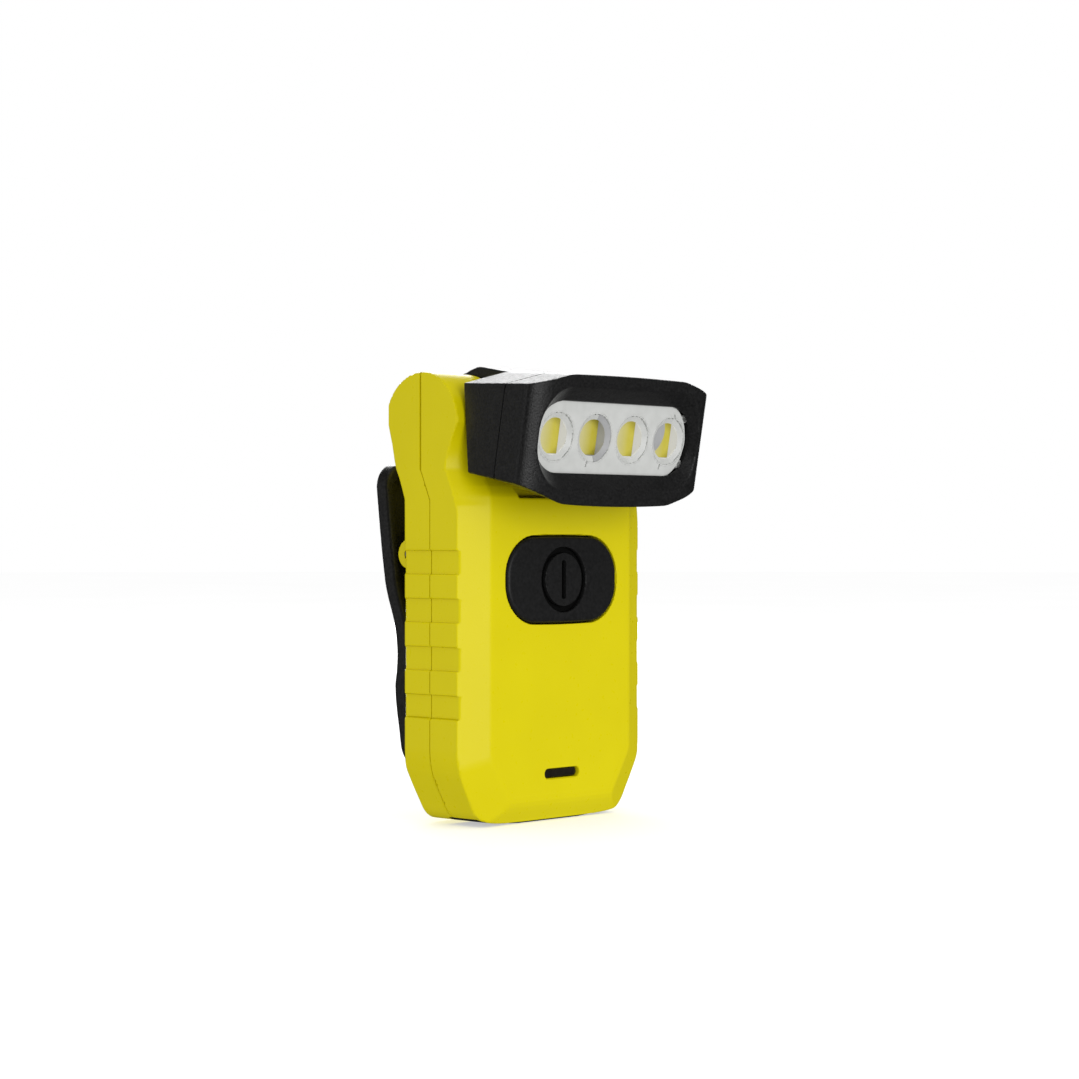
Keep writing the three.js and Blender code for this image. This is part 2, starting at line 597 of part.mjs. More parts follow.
function headRearShell() {
  const wings = loft([headOutline(HEAD.parting + HEAD.partingGap / 2), headOutline(-2)]);
  const outer = bothSides((s) => prismX(wingBack.slice().reverse(), ...spanX(s, HINGE.knuckleHalf, 40)));
  const top = HINGE.knuckleTop;
  const coreSide = [
    [-12, -4.5], [0, -4.5], [3.9, 10.5], [3.2, 11.1], [0.7, top - 0.1], [-0.5, top], [-12, top],
  ];
  const core = prismX(coreSide, -HINGE.knuckleHalf, HINGE.knuckleHalf);
  const barrel = rodX(0, 0, HINGE.knuckleRadius, -HINGE.knuckleHalf, HINGE.knuckleHalf, 40);
  const bay = box(-19.6, 19.6, -30, -14, -5.2, 9.2);
  const ends = box(-20.9, 20.9, -30, -16, -1.9, 5.5);
  const drum = rodX(0, 0, 9.4, -8.5, 8.5, 28);
  const passage = box(-6, 6, -15, -5, -4, 4);
  const leadSlot = box(-4.5, 4.5, -4.6, 13, -13, 2);
  const pinBore = rodX(0, 0, HINGE.pinRadius + 0.15, -15, 15, 20);
  const screwBores = bothSides((s) => rodY(s * OPTICS.pitch, 6.3, 0.95, -16, -11.2, 12));
  const trimmed = cut(wings, [...outer, prismX(underCut.slice().reverse(), -24, 24)]);
  const body = joined([trimmed.intersect(box(-40, 40, -40, -7.6, -40, 40)), core, barrel]);
  const groove = sealRing(0.12);
  return cut(body, [bay, ends, drum, passage, leadSlot, pinBore, ...screwBores, groove]);
}

const plateOutline = (halfX, z0, z1, radius) => rounded(-halfX, halfX, z0, z1, radius, 6);
const at3 = (outline, y) => outline.map(([x, z]) => [x, y, z]);

function headBezel() {
  const front = HEAD.rim.y;
  const bow = [[0, 7.8], [1.0, 2.8], [1.6, 0.8], [3.4, 0]];
  const skin = loft([...bow.map(([depth, pulled]) => headOutline(front + depth, pulled)),
    headOutline(HEAD.parting - HEAD.partingGap / 2)]);
  const wide = plateOutline(25.1, -9.7, 13.55, 9.4);
  const narrow = plateOutline(23.3, -5.4, 9.0, 7.0);
  const funnel = loft([at3(wide, front - 0.8), at3(narrow, -28.2)]);
  const mouth = prismY(narrow, -29, -27);
  const seat = prismY(plateOutline(24.2, -6.3, 9.9, 6.7), -28.0, -20);
  return cut(skin, [funnel, mouth, seat, sealRing(0.12)]);
}

function sealRing(clearance) {
  const c = clearance;
  const outer = prismY(plateOutline(24.9 + c, -7.3 - c, 10.9 + c, 7 + c), -22.2 - c, -20.2 + c);
  return outer.subtract(prismY(plateOutline(23.7 - c, -6.1 + c, 9.7 - c, 6 - c), -24, -19));
}

const opticPlaces = [-1.5, -0.5, 0.5, 1.5].map((n) => n * OPTICS.pitch);

// One collimator: a cone with a socket for its LED at the back.
function optic(x) {
  const { z, radius, backRadius, front, back } = OPTICS;
  const profile = [[0, front], [radius, front], [radius, back - 5.6], [3.9, back - 3.1], [backRadius, back],
    [1.9, back], [1.6, back - 1.6], [0, back - 1.6]];
  return turned(profile, 20).translate([x, 0, z]);
}

function opticFrame() {
  const plate = prismY(plateOutline(23.6, -5.7, 9.3, 6.1), -25.8, -24.9);
  return cut(plate, opticPlaces.map((x) => rodY(x, OPTICS.z, OPTICS.radius + 0.1, -27, -24, 20)));
}

function ledBoard() {
  const board = box(-19.3, 19.3, -18.4, -17.2, -4.6, 8.4);
  return cut(board, bothSides((s) => rodY(s * OPTICS.pitch, 6.3, 1.1, -20, -16, 12)));
}

function heatSpreader() {
  const block = box(-19.2, 19.2, -17.1, -14.3, -4.6, 8.4);
  const fins = [-16, -12, -8, 8, 12, 16].map((x) => box(x - 0.8, x + 0.8, -15.6, -13, -5, 4.4));
  return cut(block, [...fins, ...bothSides((s) => rodY(s * OPTICS.pitch, 6.3, 1.1, -20, -12, 12))]);
}

function boardScrew(s) {
  const [x, z] = [s * OPTICS.pitch, 6.3];
  const head = rodY(x, z, 1.7, -19.5, -18.5, 14);
  return head.add(rodY(x, z, 0.8, -18.6, -11.6, 10)).subtract(rodY(x, z, 0.7, -20, -19, 6));
}

function buildHead() {
  place(headGroup, "head_rear_shell", headRearShell(), BLACK);
  place(headGroup, "head_bezel", headBezel(), BLACK);
  place(headGroup, "head_seal", sealRing(0), RUBBER);
  place(headGroup, "lens_plate", prismY(plateOutline(24.0, -6.1, 9.7, 6.5), -27.9, -26.3), CLEAR);
  place(headGroup, "optic_frame", opticFrame(), GREY);
  opticPlaces.forEach((x, i) => {
    place(headGroup, `optic_${i + 1}`, optic(x), CLEAR);
    const led = box(x - 1.5, x + 1.5, -19.2, -18.45, OPTICS.z - 1.5, OPTICS.z + 1.5);
    place(headGroup, `led_${i + 1}`, led, PHOSPHOR);
  });
  place(headGroup, "led_board", ledBoard(), LAMINATE);
  place(headGroup, "heat_spreader", heatSpreader(), ALUMINIUM);
  place(headGroup, "board_screw_left", boardScrew(-1), STEEL);
  place(headGroup, "board_screw_right", boardScrew(1), STEEL);
}

buildCase();
buildButton();
buildHinge();
buildClip();
buildHead();

export default root;
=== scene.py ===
"""Firefighter flashlight: the looks of every visible piece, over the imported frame.

Shapes are distance fields in millimetres, in the frame's axes (the head's in its own, on the hinge axis).
A field is negative inside the piece. Each one is meshed on a grid, and its points are then drawn onto the
true surface, so faces are exactly flat and every edge has its real rounding.
"""
import functools
import json
import math

import bmesh
import bpy
import numpy as np
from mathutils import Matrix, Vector


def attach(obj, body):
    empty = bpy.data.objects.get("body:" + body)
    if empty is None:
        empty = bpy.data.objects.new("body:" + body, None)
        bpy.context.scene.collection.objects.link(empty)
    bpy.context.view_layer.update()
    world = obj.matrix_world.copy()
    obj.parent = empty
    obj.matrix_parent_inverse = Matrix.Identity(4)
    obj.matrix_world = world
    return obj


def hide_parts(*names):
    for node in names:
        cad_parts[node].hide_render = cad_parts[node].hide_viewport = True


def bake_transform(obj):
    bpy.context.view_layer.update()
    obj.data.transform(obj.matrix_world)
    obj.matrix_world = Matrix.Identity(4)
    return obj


MM = 0.001

# ---------------------------------------------------------------- sizes, in millimetres
HALF_WIDTH = 27.5
BEVEL_RUN = 6.6
FACE_DEPTH, EDGE_DEPTH = 11.0, 7.8
BACK_DEPTH, BACK_EDGE_DEPTH = 10.5, 7.35
WALL = 2.2
CAVITY_FRONT, CAVITY_BACK, CAVITY_BEVEL = (8.8, 6.0), (7.0, 5.0), 4.9  # depth at the face and at the side
GRIP_MIDDLES, GRIP_HALF, GRIP_DEPTH = (53.5, 43.8, 34.1, 24.4), 2.375, 0.5
SEAM_GAP = 0.24
SEAM_BEND, SEAM_LEAN = (66, 72), 0.917  # heights where the seam leans, and the cosine of its lean there
PIN_BORE_RADIUS = 3.15
HINGE_Y, HINGE_Z, TILT = 2.6, 81.5, math.radians(10)
BARREL_RADIUS = 10.5
BUTTON_Z, BUTTON_HALF, BUTTON_RISE = 49.85, 16.5, 8.9
SLOT_Z = 10.0
PIVOT_Y, PIVOT_Z = 12.0, 55.1
SPRING_HALF = 3.9
CONTACT_X, CONTACT_Y = 8, -3.6
SCREW_X = 20.0
SCREW_LEVELS = (14.5, 70.8)
OPTIC_PITCH, OPTIC_Z = 11.38, 1.8
SPLIT_OPTIC, REFLECTION_SHEET_OPTIC = 2, 4  # the collimator painted darker at its right, as painted shade and a painted dark reflection, and the one with a dark sheet put in as a painted reflection
RIM_Y, REAR_Y, PARTING_Y = -30.7, -9.0, -21.2
RIM_HALF = 27.3
PLATE_Y, WELL_Y, FLOOR_Y = -27.8, -27.08, -24.85

SMOOTH_COSINE = math.cos(math.radians(16))  # edges that turn further than twice this are shaded sharp

# Rows of height, depth: the case's profile at its faces and at its sides.
FACE_FRONT = [(0, -7.8), (5.5, -11), (60, -11), (63, -11), (66.5, -10.9), (68.6, -10.2), (70.3, -9.2),
              (72, -8.4), (73.8, -8.0), (75.6, -7.85), (78.4, -7.85)]
FACE_BACK = [(0, 7.35), (5.5, 10.5), (60, 10.5), (65, 10.5), (67.4, 10.6), (70.3, 10.9), (72.9, 11.4),
             (77.5, 12.3)]
SIDE_FRONT = [(0, -7.8), (60, -7.8), (64.6, -7.6), (66, -7.1), (68.4, -6.2), (70.8, -5.1), (72.6, -4.5),
              (74.55, -4.75), (77.9, -6.0)]
SIDE_BACK = [(0, 7.35), (60, 7.35), (66.1, 7.4), (67.4, 7.8), (70.3, 8.87), (72.9, 10.05), (77.5, 11.1)]
# Rows of half width, height: the foot and lower corner of the case.
FOOT = [(0, 0), (9, 0), (13.6, 0.33), (17.5, 0.65), (19.7, 1.1), (21.2, 1.8), (22.4, 2.9), (23.6, 4.9),
        (26, 9.3), (26.9, 11.4), (27.35, 13.6), (27.5, 15.5)]
# Rows of depth, height: the outer face of the clip.
CLIP_FACE = [(22.6, 74), (19.45, 49.6), (18.6, 46.4), (17.55, 43.6), (16.6, 40.8), (15.95, 37.5),
             (15.7, 34.2), (15.9, 30.8), (16.35, 27.8), (14.75, 16.2), (14.1, 10)]


# ---------------------------------------------------------------- distance fields
def smooth_rows(rows, steps=6):
    """More rows, on a smooth curve through the given ones that never overshoots them."""
    t, v = np.array(rows, float).T
    slope = np.diff(v) / np.diff(t)
    tangent = np.zeros(len(t))
    same_way = slope[:-1] * slope[1:] > 0
    before, after = slope[:-1][same_way], slope[1:][same_way]
    tangent[1:-1][same_way] = 2 * before * after / (before + after)
    tangent[0], tangent[-1] = slope[0], slope[-1]
    made = []
    for i in range(len(t) - 1):
        width = t[i + 1] - t[i]
        for s in np.arange(steps) / steps:
            rise = (1 + 2 * s) * (1 - s) ** 2 * v[i] + s * s * (3 - 2 * s) * v[i + 1]
            bend = width * (s * (1 - s) ** 2 * tangent[i] - s * s * (1 - s) * tangent[i + 1])
            made.append((t[i] + s * width, rise + bend))
    return made + [tuple(rows[-1])]


def rounded_corners(points, radius, steps=6):
    """A closed outline with each corner turned into a smooth bend that starts radius away from it."""
    made = []
    for i, (x, y) in enumerate(points):
        before, after = np.array(points[i - 1], float), np.array(points[(i + 1) % len(points)], float)
        here = np.array((x, y), float)
        a = here + (before - here) * min(radius / np.linalg.norm(before - here), 0.5)
        b = here + (after - here) * min(radius / np.linalg.norm(after - here), 0.5)
        for s in np.linspace(0, 1, steps):
            made.append(tuple(a * (1 - s) ** 2 + here * 2 * s * (1 - s) + b * s * s))
    return made


def polygon(a, b, points):
    """Distance from a closed outline of (a, b) points, negative inside."""
    shape = np.broadcast(a, b).shape
    nearest = np.full(shape, 1e9, np.float32)
    inside = np.zeros(shape, bool)
    for (a0, b0), (a1, b1) in zip(points, points[1:] + points[:1]):
        da, db = a1 - a0, b1 - b0
        along = np.clip(((a - a0) * da + (b - b0) * db) / max(da * da + db * db, 1e-12), 0, 1)
        nearest = np.minimum(nearest, (a - a0 - da * along) ** 2 + (b - b0 - db * along) ** 2)
        if db:
            inside ^= ((b0 <= b) != (b1 <= b)) & (a < a0 + da * (b - b0) / db)
    return np.where(inside, -1, 1) * np.sqrt(nearest)


def within(v, low, high):
    """Distance outside the range from low to high, negative in it."""
    return np.maximum(low - v, v - high)


def rounded_rectangle(a, b, a0, a1, b0, b1, radius):
    """Distance from a rectangle with round corners. Any of its measures may be an array."""
    qa = np.abs(a - (a0 + a1) / 2) - (a1 - a0) / 2 + radius
    qb = np.abs(b - (b0 + b1) / 2) - (b1 - b0) / 2 + radius
    return np.hypot(np.maximum(qa, 0), np.maximum(qb, 0)) + np.minimum(np.maximum(qa, qb), 0) - radius


def both(radius, *fields):
    """What all the fields share, with the edges between them rounded."""
    left = fields[0]
    for field in fields[1:]:
        u, v = np.maximum(left + radius, 0), np.maximum(field + radius, 0)
        left = np.minimum(-radius, np.maximum(left, field)) + np.hypot(u, v)
    return left


def either(radius, *fields):
    """All the fields joined, with the inner corners between them filled."""
    return -both(radius, *[-field for field in fields])


def without(radius, body, *cuts):
    """The body with the cuts taken out of it, and the edges between them rounded."""
    return both(radius, body, *[-cut for cut in cuts])


def shared(*fields):
    """What all the fields share, with sharp edges."""
    return functools.reduce(np.maximum, fields)


def joined(*fields):
    """All the fields together, with sharp inner corners."""
    return functools.reduce(np.minimum, fields)


def disc(a, b, a0, b0, radius):
    return np.hypot(a - a0, b - b0) - radius


def moved(field, x0, z0=0.0):
    """The field, moved by x0 and up by z0."""
    return lambda x, y, z: field(x - x0, y, z - z0)


# ---------------------------------------------------------------- meshing
def summed(index, values, count):
    """The rows of values added up by their index, into count rows."""
    return np.stack([np.bincount(index, column, count) for column in values.T], 1)


def crossings(inside, value, axes):
    """Surface-net points: for each grid cell that the surface crosses, the mean of its edge crossings,
    with a grid that holds each cell's place in the list."""
    shape = tuple(n - 1 for n in inside.shape)
    cells, points = [], []
    for axis in range(3):
        low = [slice(None)] * 3
        high = [slice(None)] * 3
        low[axis], high[axis] = slice(None, -1), slice(1, None)
        place = np.array(np.nonzero(inside[tuple(low)] != inside[tuple(high)]))
        a, b = value[tuple(low)][tuple(place)], value[tuple(high)][tuple(place)]
        point = np.stack([axes[n][place[n]] for n in range(3)], 1)
        point[:, axis] += a / (a - b) * (axes[axis][1] - axes[axis][0])
        u, v = [n for n in range(3) if n != axis]
        for du in (0, 1):
            for dv in (0, 1):
                cell = place.copy()
                cell[u] -= du
                cell[v] -= dv
                cells.append(np.ravel_multi_index(cell, shape))
                points.append(point)
    used, member = np.unique(np.concatenate(cells), return_inverse=True)
    member = member.ravel()
    index = np.full(np.prod(shape), -1, np.int64)
    index[used] = np.arange(len(used))
    mean = summed(member, np.concatenate(points), len(used)) / np.bincount(member)[:, None]
    return mean, index.reshape(shape)


def net_faces(inside, index):
    """One four-sided face round every grid edge that the surface crosses, facing out."""
    faces = []
    for axis in range(3):
        low = [slice(None)] * 3
        high = [slice(None)] * 3
        low[axis], high[axis] = slice(None, -1), slice(1, None)
        starts = inside[tuple(low)]
        crossed = starts != inside[tuple(high)]
        place = np.array(np.nonzero(crossed))
        outward = starts[tuple(place)]
        u, v = [n for n in range(3) if n != axis]
        ring = []
        for du, dv in ((-1, -1), (0, -1), (0, 0), (-1, 0)):
            cell = place.copy()
            cell[u] += du
            cell[v] += dv
            ring.append(index[tuple(cell)])
        ring = np.stack(ring, 1)
        forward = outward if axis != 1 else ~outward
        ring[~forward] = ring[~forward][:, ::-1]
        faces.append(ring)
    return np.concatenate(faces)


def gradient(field, p, reach):
    """The field's slope at the points, by differences over reach to each side."""
    x, y, z = p.T
    return np.stack([
        field(x + reach, y, z) - field(x - reach, y, z),
        field(x, y + reach, z) - field(x, y - reach, z),
        field(x, y, z + reach) - field(x, y, z - reach),
    ], 1) / (2 * reach)


def value_and_slope(field, p, reach=0.01):
    x, y, z = p.T
    here = field(x, y, z)
    ahead = [field(x + reach, y, z), field(x, y + reach, z), field(x, y, z + reach)]
    return here, (np.stack(ahead, 1) - here[:, None]) / reach


def drawn_to_surface(field, p, limit, rounds):
    """The points, moved along the field's slope until they lie on its zero surface."""
    for _ in range(rounds):
        here, slope = value_and_slope(field, p)
        move = slope * (here / np.maximum((slope ** 2).sum(1), 0.05))[:, None]
        length = np.linalg.norm(move, axis=1, keepdims=True)
        p = p - move * np.minimum(1, limit / np.maximum(length, 1e-9))
    return p


def relaxed(p, faces, strength=0.6):
    """Each point moved towards the mean of its neighbours."""
    here = np.concatenate([faces[:, a] for a in (0, 1, 2, 3)] * 2)
    other = np.concatenate([faces[:, a] for a in (1, 2, 3, 0, 3, 0, 1, 2)])
    mean = summed(here, p[other], len(p)) / np.bincount(here, minlength=len(p))[:, None]
    return p + strength * (mean - p)


def on_edges(field, p, reach):
    """The points, with those near a sharp edge or corner moved onto it, where the planes round them meet."""
    steep = np.linalg.norm(value_and_slope(field, p)[1], axis=1)
    wide = np.linalg.norm(gradient(field, p, reach), axis=1)
    near = np.nonzero(wide < 0.992 * steep)[0]
    here = p[near]
    squares, pulls = np.zeros((len(near), 3, 3)), np.zeros((len(near), 3))
    for way in np.concatenate([np.eye(3), -np.eye(3)]):
        away, slope = value_and_slope(field, here + way * reach)
        size = np.maximum(np.linalg.norm(slope, axis=1), 1e-6)
        normal = slope / size[:, None]
        gap = normal @ (way * reach) - away / size
        squares += normal[:, :, None] * normal[:, None, :]
        pulls += normal * gap[:, None]
    spread, ways = np.linalg.eigh(squares)
    kept = spread > 0.02 * spread[:, -1:]
    along = np.einsum("nij,ni->nj", ways, pulls) * np.where(kept, 1 / np.maximum(spread, 1e-9), 0)
    move = np.einsum("nij,nj->ni", ways, along)
    close = np.linalg.norm(move, axis=1) < 1.3 * reach
    p = p.copy()
    p[near[close]] = here[close] + move[close]
    return p


def meshed(field, low, high, step):
    """Points, faces and face-corner normals of a field's surface inside the box from low to high."""
    axes = [np.arange(a - 2.35 * step, b + 3 * step, step) for a, b in zip(low, high)]
    grid = np.meshgrid(*[a.astype(np.float32) for a in axes], indexing="ij", sparse=True)
    value = np.broadcast_to(field(*grid), tuple(len(a) for a in axes)).astype(np.float32)
    inside = value < 0
    p, index = crossings(inside, value, axes)
    faces = net_faces(inside, index)
    for _ in range(2):
        p = drawn_to_surface(field, relaxed(p, faces), step / 2, 1)
    p = drawn_to_surface(field, p, step / 2, 2)
    p = drawn_to_surface(field, on_edges(field, p, 0.6 * step), 0.1, 1)
    return p, faces, corner_normals(field, p, faces, 0.25 * step)


def directions(vectors):
    return vectors / np.maximum(np.linalg.norm(vectors, axis=1, keepdims=True), 1e-9)


def corner_normals(field, p, faces, reach):
    """A normal for each corner of each face: the point's own, or the face's own beside a sharp edge."""
    at_points = directions(gradient(field, p, reach))
    middles = drawn_to_surface(field, p[faces].mean(axis=1), reach, 1)
    at_faces = directions(value_and_slope(field, middles)[1])
    normals = at_points[faces]
    sharp = np.einsum("fci,fi->fc", normals, at_faces) < SMOOTH_COSINE
    normals[sharp] = np.broadcast_to(at_faces[:, None], normals.shape)[sharp]
    return normals.reshape(-1, 3)


def tilted(p):
    """Head points or directions turned into the frame's axes."""
    c, s = math.cos(TILT), math.sin(TILT)
    x, y, z = p.T
    return np.stack([x, c * y - s * z, s * y + c * z], 1)


def field_piece(name, field, low, high, step, material, in_head=False):
    """The mesh object of a field. in_head says that the field is in the head's own axes."""
    p, faces, normals = meshed(field, low, high, step)
    if in_head:
        p, normals = tilted(p) + (0, HINGE_Y, HINGE_Z), tilted(normals)
    mesh = bpy.data.meshes.new(name)
    mesh.from_pydata((p * MM).tolist(), [], faces.tolist())
    mesh.polygons.foreach_set("use_smooth", [True] * len(mesh.polygons))
    mesh.normals_split_custom_set(normals.tolist())
    mesh.materials.append(material)
    made = bpy.data.objects.new(name, mesh)
    bpy.context.scene.collection.objects.link(made)
    return made


def stands_for(made, body, slot, *nodes):
    """made rides on a CAD body and replaces these CAD nodes. slot is not used."""
    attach(made, body)
    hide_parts(*nodes)
    return made


# ---------------------------------------------------------------- materials
class Surface:
    """A procedural material on the object's own coordinates, with short calls for its usual nodes."""

    def __init__(self, name, roughness, metallic=0.0, specular=0.5):
        self.material = bpy.data.materials.new(name)
        self.material.use_nodes = True
        self.nodes = self.material.node_tree.nodes
        self.links = self.material.node_tree.links
        self.shader = self.nodes["Principled BSDF"]
        self.shader.inputs["Roughness"].default_value = roughness
        self.shader.inputs["Metallic"].default_value = metallic
        self.shader.inputs["Specular IOR Level"].default_value = specular
        spots = self.nodes.new("ShaderNodeTexCoord").outputs
        self.place, self.share = spots["Object"], spots["Generated"]

    def noise(self, scale, detail=2.0, roughness=0.5):
        """Noise whose features are about 1/scale metres across."""
        node = self.nodes.new("ShaderNodeTexNoise")
        node.inputs["Scale"].default_value = scale
        node.inputs["Detail"].default_value = detail
        node.inputs["Roughness"].default_value = roughness
        self.links.new(self.place, node.inputs["Vector"])
        return node.outputs["Fac"]

    def cells(self, scale):
        node = self.nodes.new("ShaderNodeTexVoronoi")
        node.inputs["Scale"].default_value = scale
        self.links.new(self.place, node.inputs["Vector"])
        return node.outputs["Distance"]

    def ramp(self, value, stops):
        """A colour ramp of (position, colour) stops on the value."""
        node = self.nodes.new("ShaderNodeValToRGB")
        ramp = node.color_ramp
        ramp.elements[0].position, ramp.elements[0].color = stops[0][0], (*stops[0][1], 1)
        ramp.elements[1].position, ramp.elements[1].color = stops[-1][0], (*stops[-1][1], 1)
        for position, color in stops[1:-1]:
            ramp.elements.new(position).color = (*color, 1)
        self.links.new(value, node.inputs["Fac"])
        return node.outputs["Color"]

    def range(self, value, low, high):
        """The value's middle half, spread from low to high."""
        node = self.nodes.new("ShaderNodeMapRange")
        node.inputs["From Min"].default_value = 0.25
        node.inputs["From Max"].default_value = 0.75
        node.inputs["To Min"].default_value = low
        node.inputs["To Max"].default_value = high
        self.links.new(value, node.inputs["Value"])
        return node.outputs["Result"]

    def along(self, vector, way, start, end):
        """0 to 1 as the vector's measure along way goes from start to end."""
        dot = self.nodes.new("ShaderNodeVectorMath")
        dot.operation = "DOT_PRODUCT"
        dot.inputs[1].default_value = way
        self.links.new(vector, dot.inputs[0])
        node = self.nodes.new("ShaderNodeMapRange")
        node.inputs["From Min"].default_value = start
        node.inputs["From Max"].default_value = end
        self.links.new(dot.outputs["Value"], node.inputs["Value"])
        return node.outputs["Result"]

    def mixed(self, share, first, second):
        """The first colour, turning to the second fixed one as share goes to 1."""
        node = self.nodes.new("ShaderNodeMix")
        node.data_type = "RGBA"
        self.links.new(share, node.inputs["Factor"])
        self.links.new(first, node.inputs["A"])
        node.inputs["B"].default_value = (*second, 1)
        return node.outputs["Result"]

    def color(self, output):
        self.links.new(output, self.shader.inputs["Base Color"])

    def roughness(self, output):
        self.links.new(output, self.shader.inputs["Roughness"])

    def glow(self, strength):
        """An even white light of its own."""
        self.shader.inputs["Emission Color"].default_value = (1, 1, 1, 1)
        self.shader.inputs["Emission Strength"].default_value = strength

    def bump(self, *layers):
        """Stacks bumps, each a height output and its depth in millimetres."""
        normal = None
        for height, depth in layers:
            node = self.nodes.new("ShaderNodeBump")
            node.inputs["Distance"].default_value = depth * MM
            self.links.new(height, node.inputs["Height"])
            if normal:
                self.links.new(normal, node.inputs["Normal"])
            normal = node.outputs["Normal"]
        self.links.new(normal, self.shader.inputs["Normal"])


def yellow_plastic():
    s = Surface("yellow_plastic", 0.3, specular=0.2)
    s.color(s.ramp(s.noise(60, 3), [(0.35, (0.800, 0.690, 0.0004)), (0.65, (0.825, 0.715, 0.0008))]))
    s.roughness(s.range(s.noise(900, 3), 0.26, 0.34))
    s.bump((s.noise(2600, 2), 0.010), (s.cells(4200), 0.005))
    return s.material


def black_plastic():
    s = Surface("black_plastic", 0.4, specular=0.4)
    dark, light = (0.0070, 0.0070, 0.0072), (0.0230, 0.0230, 0.0233)
    s.color(s.ramp(s.noise(2300, 3, 0.6), [(0.32, dark), (0.7, light)]))
    s.roughness(s.range(s.noise(1500, 3), 0.28, 0.42))
    s.bump((s.noise(2600, 2, 0.6), 0.050), (s.cells(2400), 0.02))
    return s.material


def button_rubber():
    """Satin rubber, with painted shade on the engraving's floor, where its colour turns near black."""
    s = Surface("button_rubber", 0.45, specular=0.3)
    skin = s.ramp(s.noise(1600, 3), [(0.3, (0.0105, 0.0105, 0.0107)), (0.7, (0.0185, 0.0185, 0.0188))])
    # painted shade: the colour goes near black on the engraving's floor, deep in the recess
    s.color(s.mixed(s.along(s.place, (0, 1, 0), -0.01080, -0.01060), skin, (0.003, 0.003, 0.003)))
    s.roughness(s.range(s.noise(2400, 2), 0.36, 0.48))
    s.bump((s.noise(3600, 2), 0.008))
    return s.material


def seal_rubber():
    s = Surface("seal_rubber", 0.75, specular=0.25)
    s.color(s.ramp(s.noise(900, 2), [(0.3, (0.006, 0.006, 0.006)), (0.7, (0.011, 0.011, 0.011))]))
    s.bump((s.noise(2600, 2), 0.02))
    return s.material


def clear_lens():
    s = Surface("clear_lens", 0.04, specular=0.5)
    s.shader.inputs["Base Color"].default_value = (0.98, 0.99, 0.985, 1)
    s.shader.inputs["Transmission Weight"].default_value = 1.0
    s.shader.inputs["IOR"].default_value = 1.2
    s.roughness(s.range(s.noise(700, 2), 0.02, 0.05))
    return s.material


def frosted_plastic():
    s = Surface("frosted_plastic", 0.35, specular=0.4)
    s.color(s.ramp(s.noise(350, 3), [(0.3, (0.64, 0.65, 0.63)), (0.7, (0.71, 0.72, 0.70))]))
    s.roughness(s.range(s.noise(900, 2), 0.28, 0.42))
    s.bump((s.noise(2600, 2), 0.006))
    return s.material


def collimator_plastic():
    """The collimators: plain at the dish, and with painted light in the well, a dimmer colour under an even
    white glow of their own, standing in for light that scatters in clear plastic.
    """
    s = Surface("collimator_plastic", 0.25, specular=0.4)
    into_head = (0, math.cos(TILT), math.sin(TILT))
    hinge = (HINGE_Y * into_head[1] + HINGE_Z * into_head[2]) * MM
    # painted light: inside the well the colour is dimmer and the surface glows white, though no lamp is
    # there
    deep = s.along(s.place, into_head, hinge + (WELL_Y - 0.1) * MM, hinge + (WELL_Y + 0.1) * MM)
    dish = s.ramp(s.noise(350, 3), [(0.3, (0.64, 0.65, 0.63)), (0.7, (0.71, 0.72, 0.70))])
    s.color(s.mixed(deep, dish, (0.25, 0.252, 0.248)))
    dark = s.ramp(s.noise(350, 3), [(0.3, (0, 0, 0)), (0.7, (0.01, 0.01, 0.01))])
    s.links.new(s.mixed(deep, dark, (1, 1, 0.98)), s.shader.inputs["Emission Color"])
    s.shader.inputs["Emission Strength"].default_value = 0.43
    s.roughness(s.range(s.noise(900, 2), 0.24, 0.38))
    return s.material


def shaded_plastic():
    """A darker copy of the collimators' finish, for painted shade and a painted dark reflection, with a
    faint painted glow standing in for the light that scatters in clear plastic.
    """
    s = Surface("shaded_plastic", 0.4, specular=0.4)
    # painted shade and reflection: a darker grey than the collimators; the glow below is painted light
    s.color(s.ramp(s.noise(350, 3), [(0.3, (0.26, 0.265, 0.27)), (0.7, (0.32, 0.325, 0.33))]))
    s.glow(0.13)
    s.bump((s.noise(2600, 2), 0.006))
    return s.material


def led_phosphor():
    """Yellow phosphor with a painted highlight: it pales towards the left of each LED, where the collimator
    washes it out with light.
    """
    s = Surface("led_phosphor", 0.4, specular=0.4)
    deep = s.ramp(s.noise(500, 3), [(0.25, (0.60, 0.52, 0.045)), (0.75, (0.65, 0.57, 0.075))])
    # painted highlight: the colour pales towards the left of each LED
    s.color(s.mixed(s.along(s.share, (1, 0, 0), 0.78, 0.25), deep, (0.68, 0.64, 0.36)))
    s.bump((s.cells(3200), 0.012))
    return s.material


def smoked_window():
    s = Surface("smoked_window", 0.12, specular=0.5)
    s.color(s.ramp(s.noise(500, 2), [(0.3, (0.012, 0.010, 0.008)), (0.7, (0.020, 0.017, 0.013))]))
    s.roughness(s.range(s.noise(900, 2), 0.10, 0.16))
    return s.material


def metal(name, dark, light, rough_low, rough_high, grain=2200):
    """Turned or drawn metal, with a fine grain in its colour and gloss."""
    s = Surface(name, rough_low, metallic=1.0)
    s.color(s.ramp(s.noise(grain, 3), [(0.3, dark), (0.7, light)]))
    s.roughness(s.range(s.noise(grain, 2), rough_low, rough_high))
    s.bump((s.noise(grain * 2, 2), 0.003))
    return s.material


def circuit_board():
    s = Surface("circuit_board", 0.35)
    mask, track = (0.012, 0.09, 0.035), (0.02, 0.15, 0.06)
    s.color(s.ramp(s.cells(420), [(0.2, mask), (0.34, track), (0.36, mask)]))
    s.bump((s.cells(420), 0.03))
    return s.material


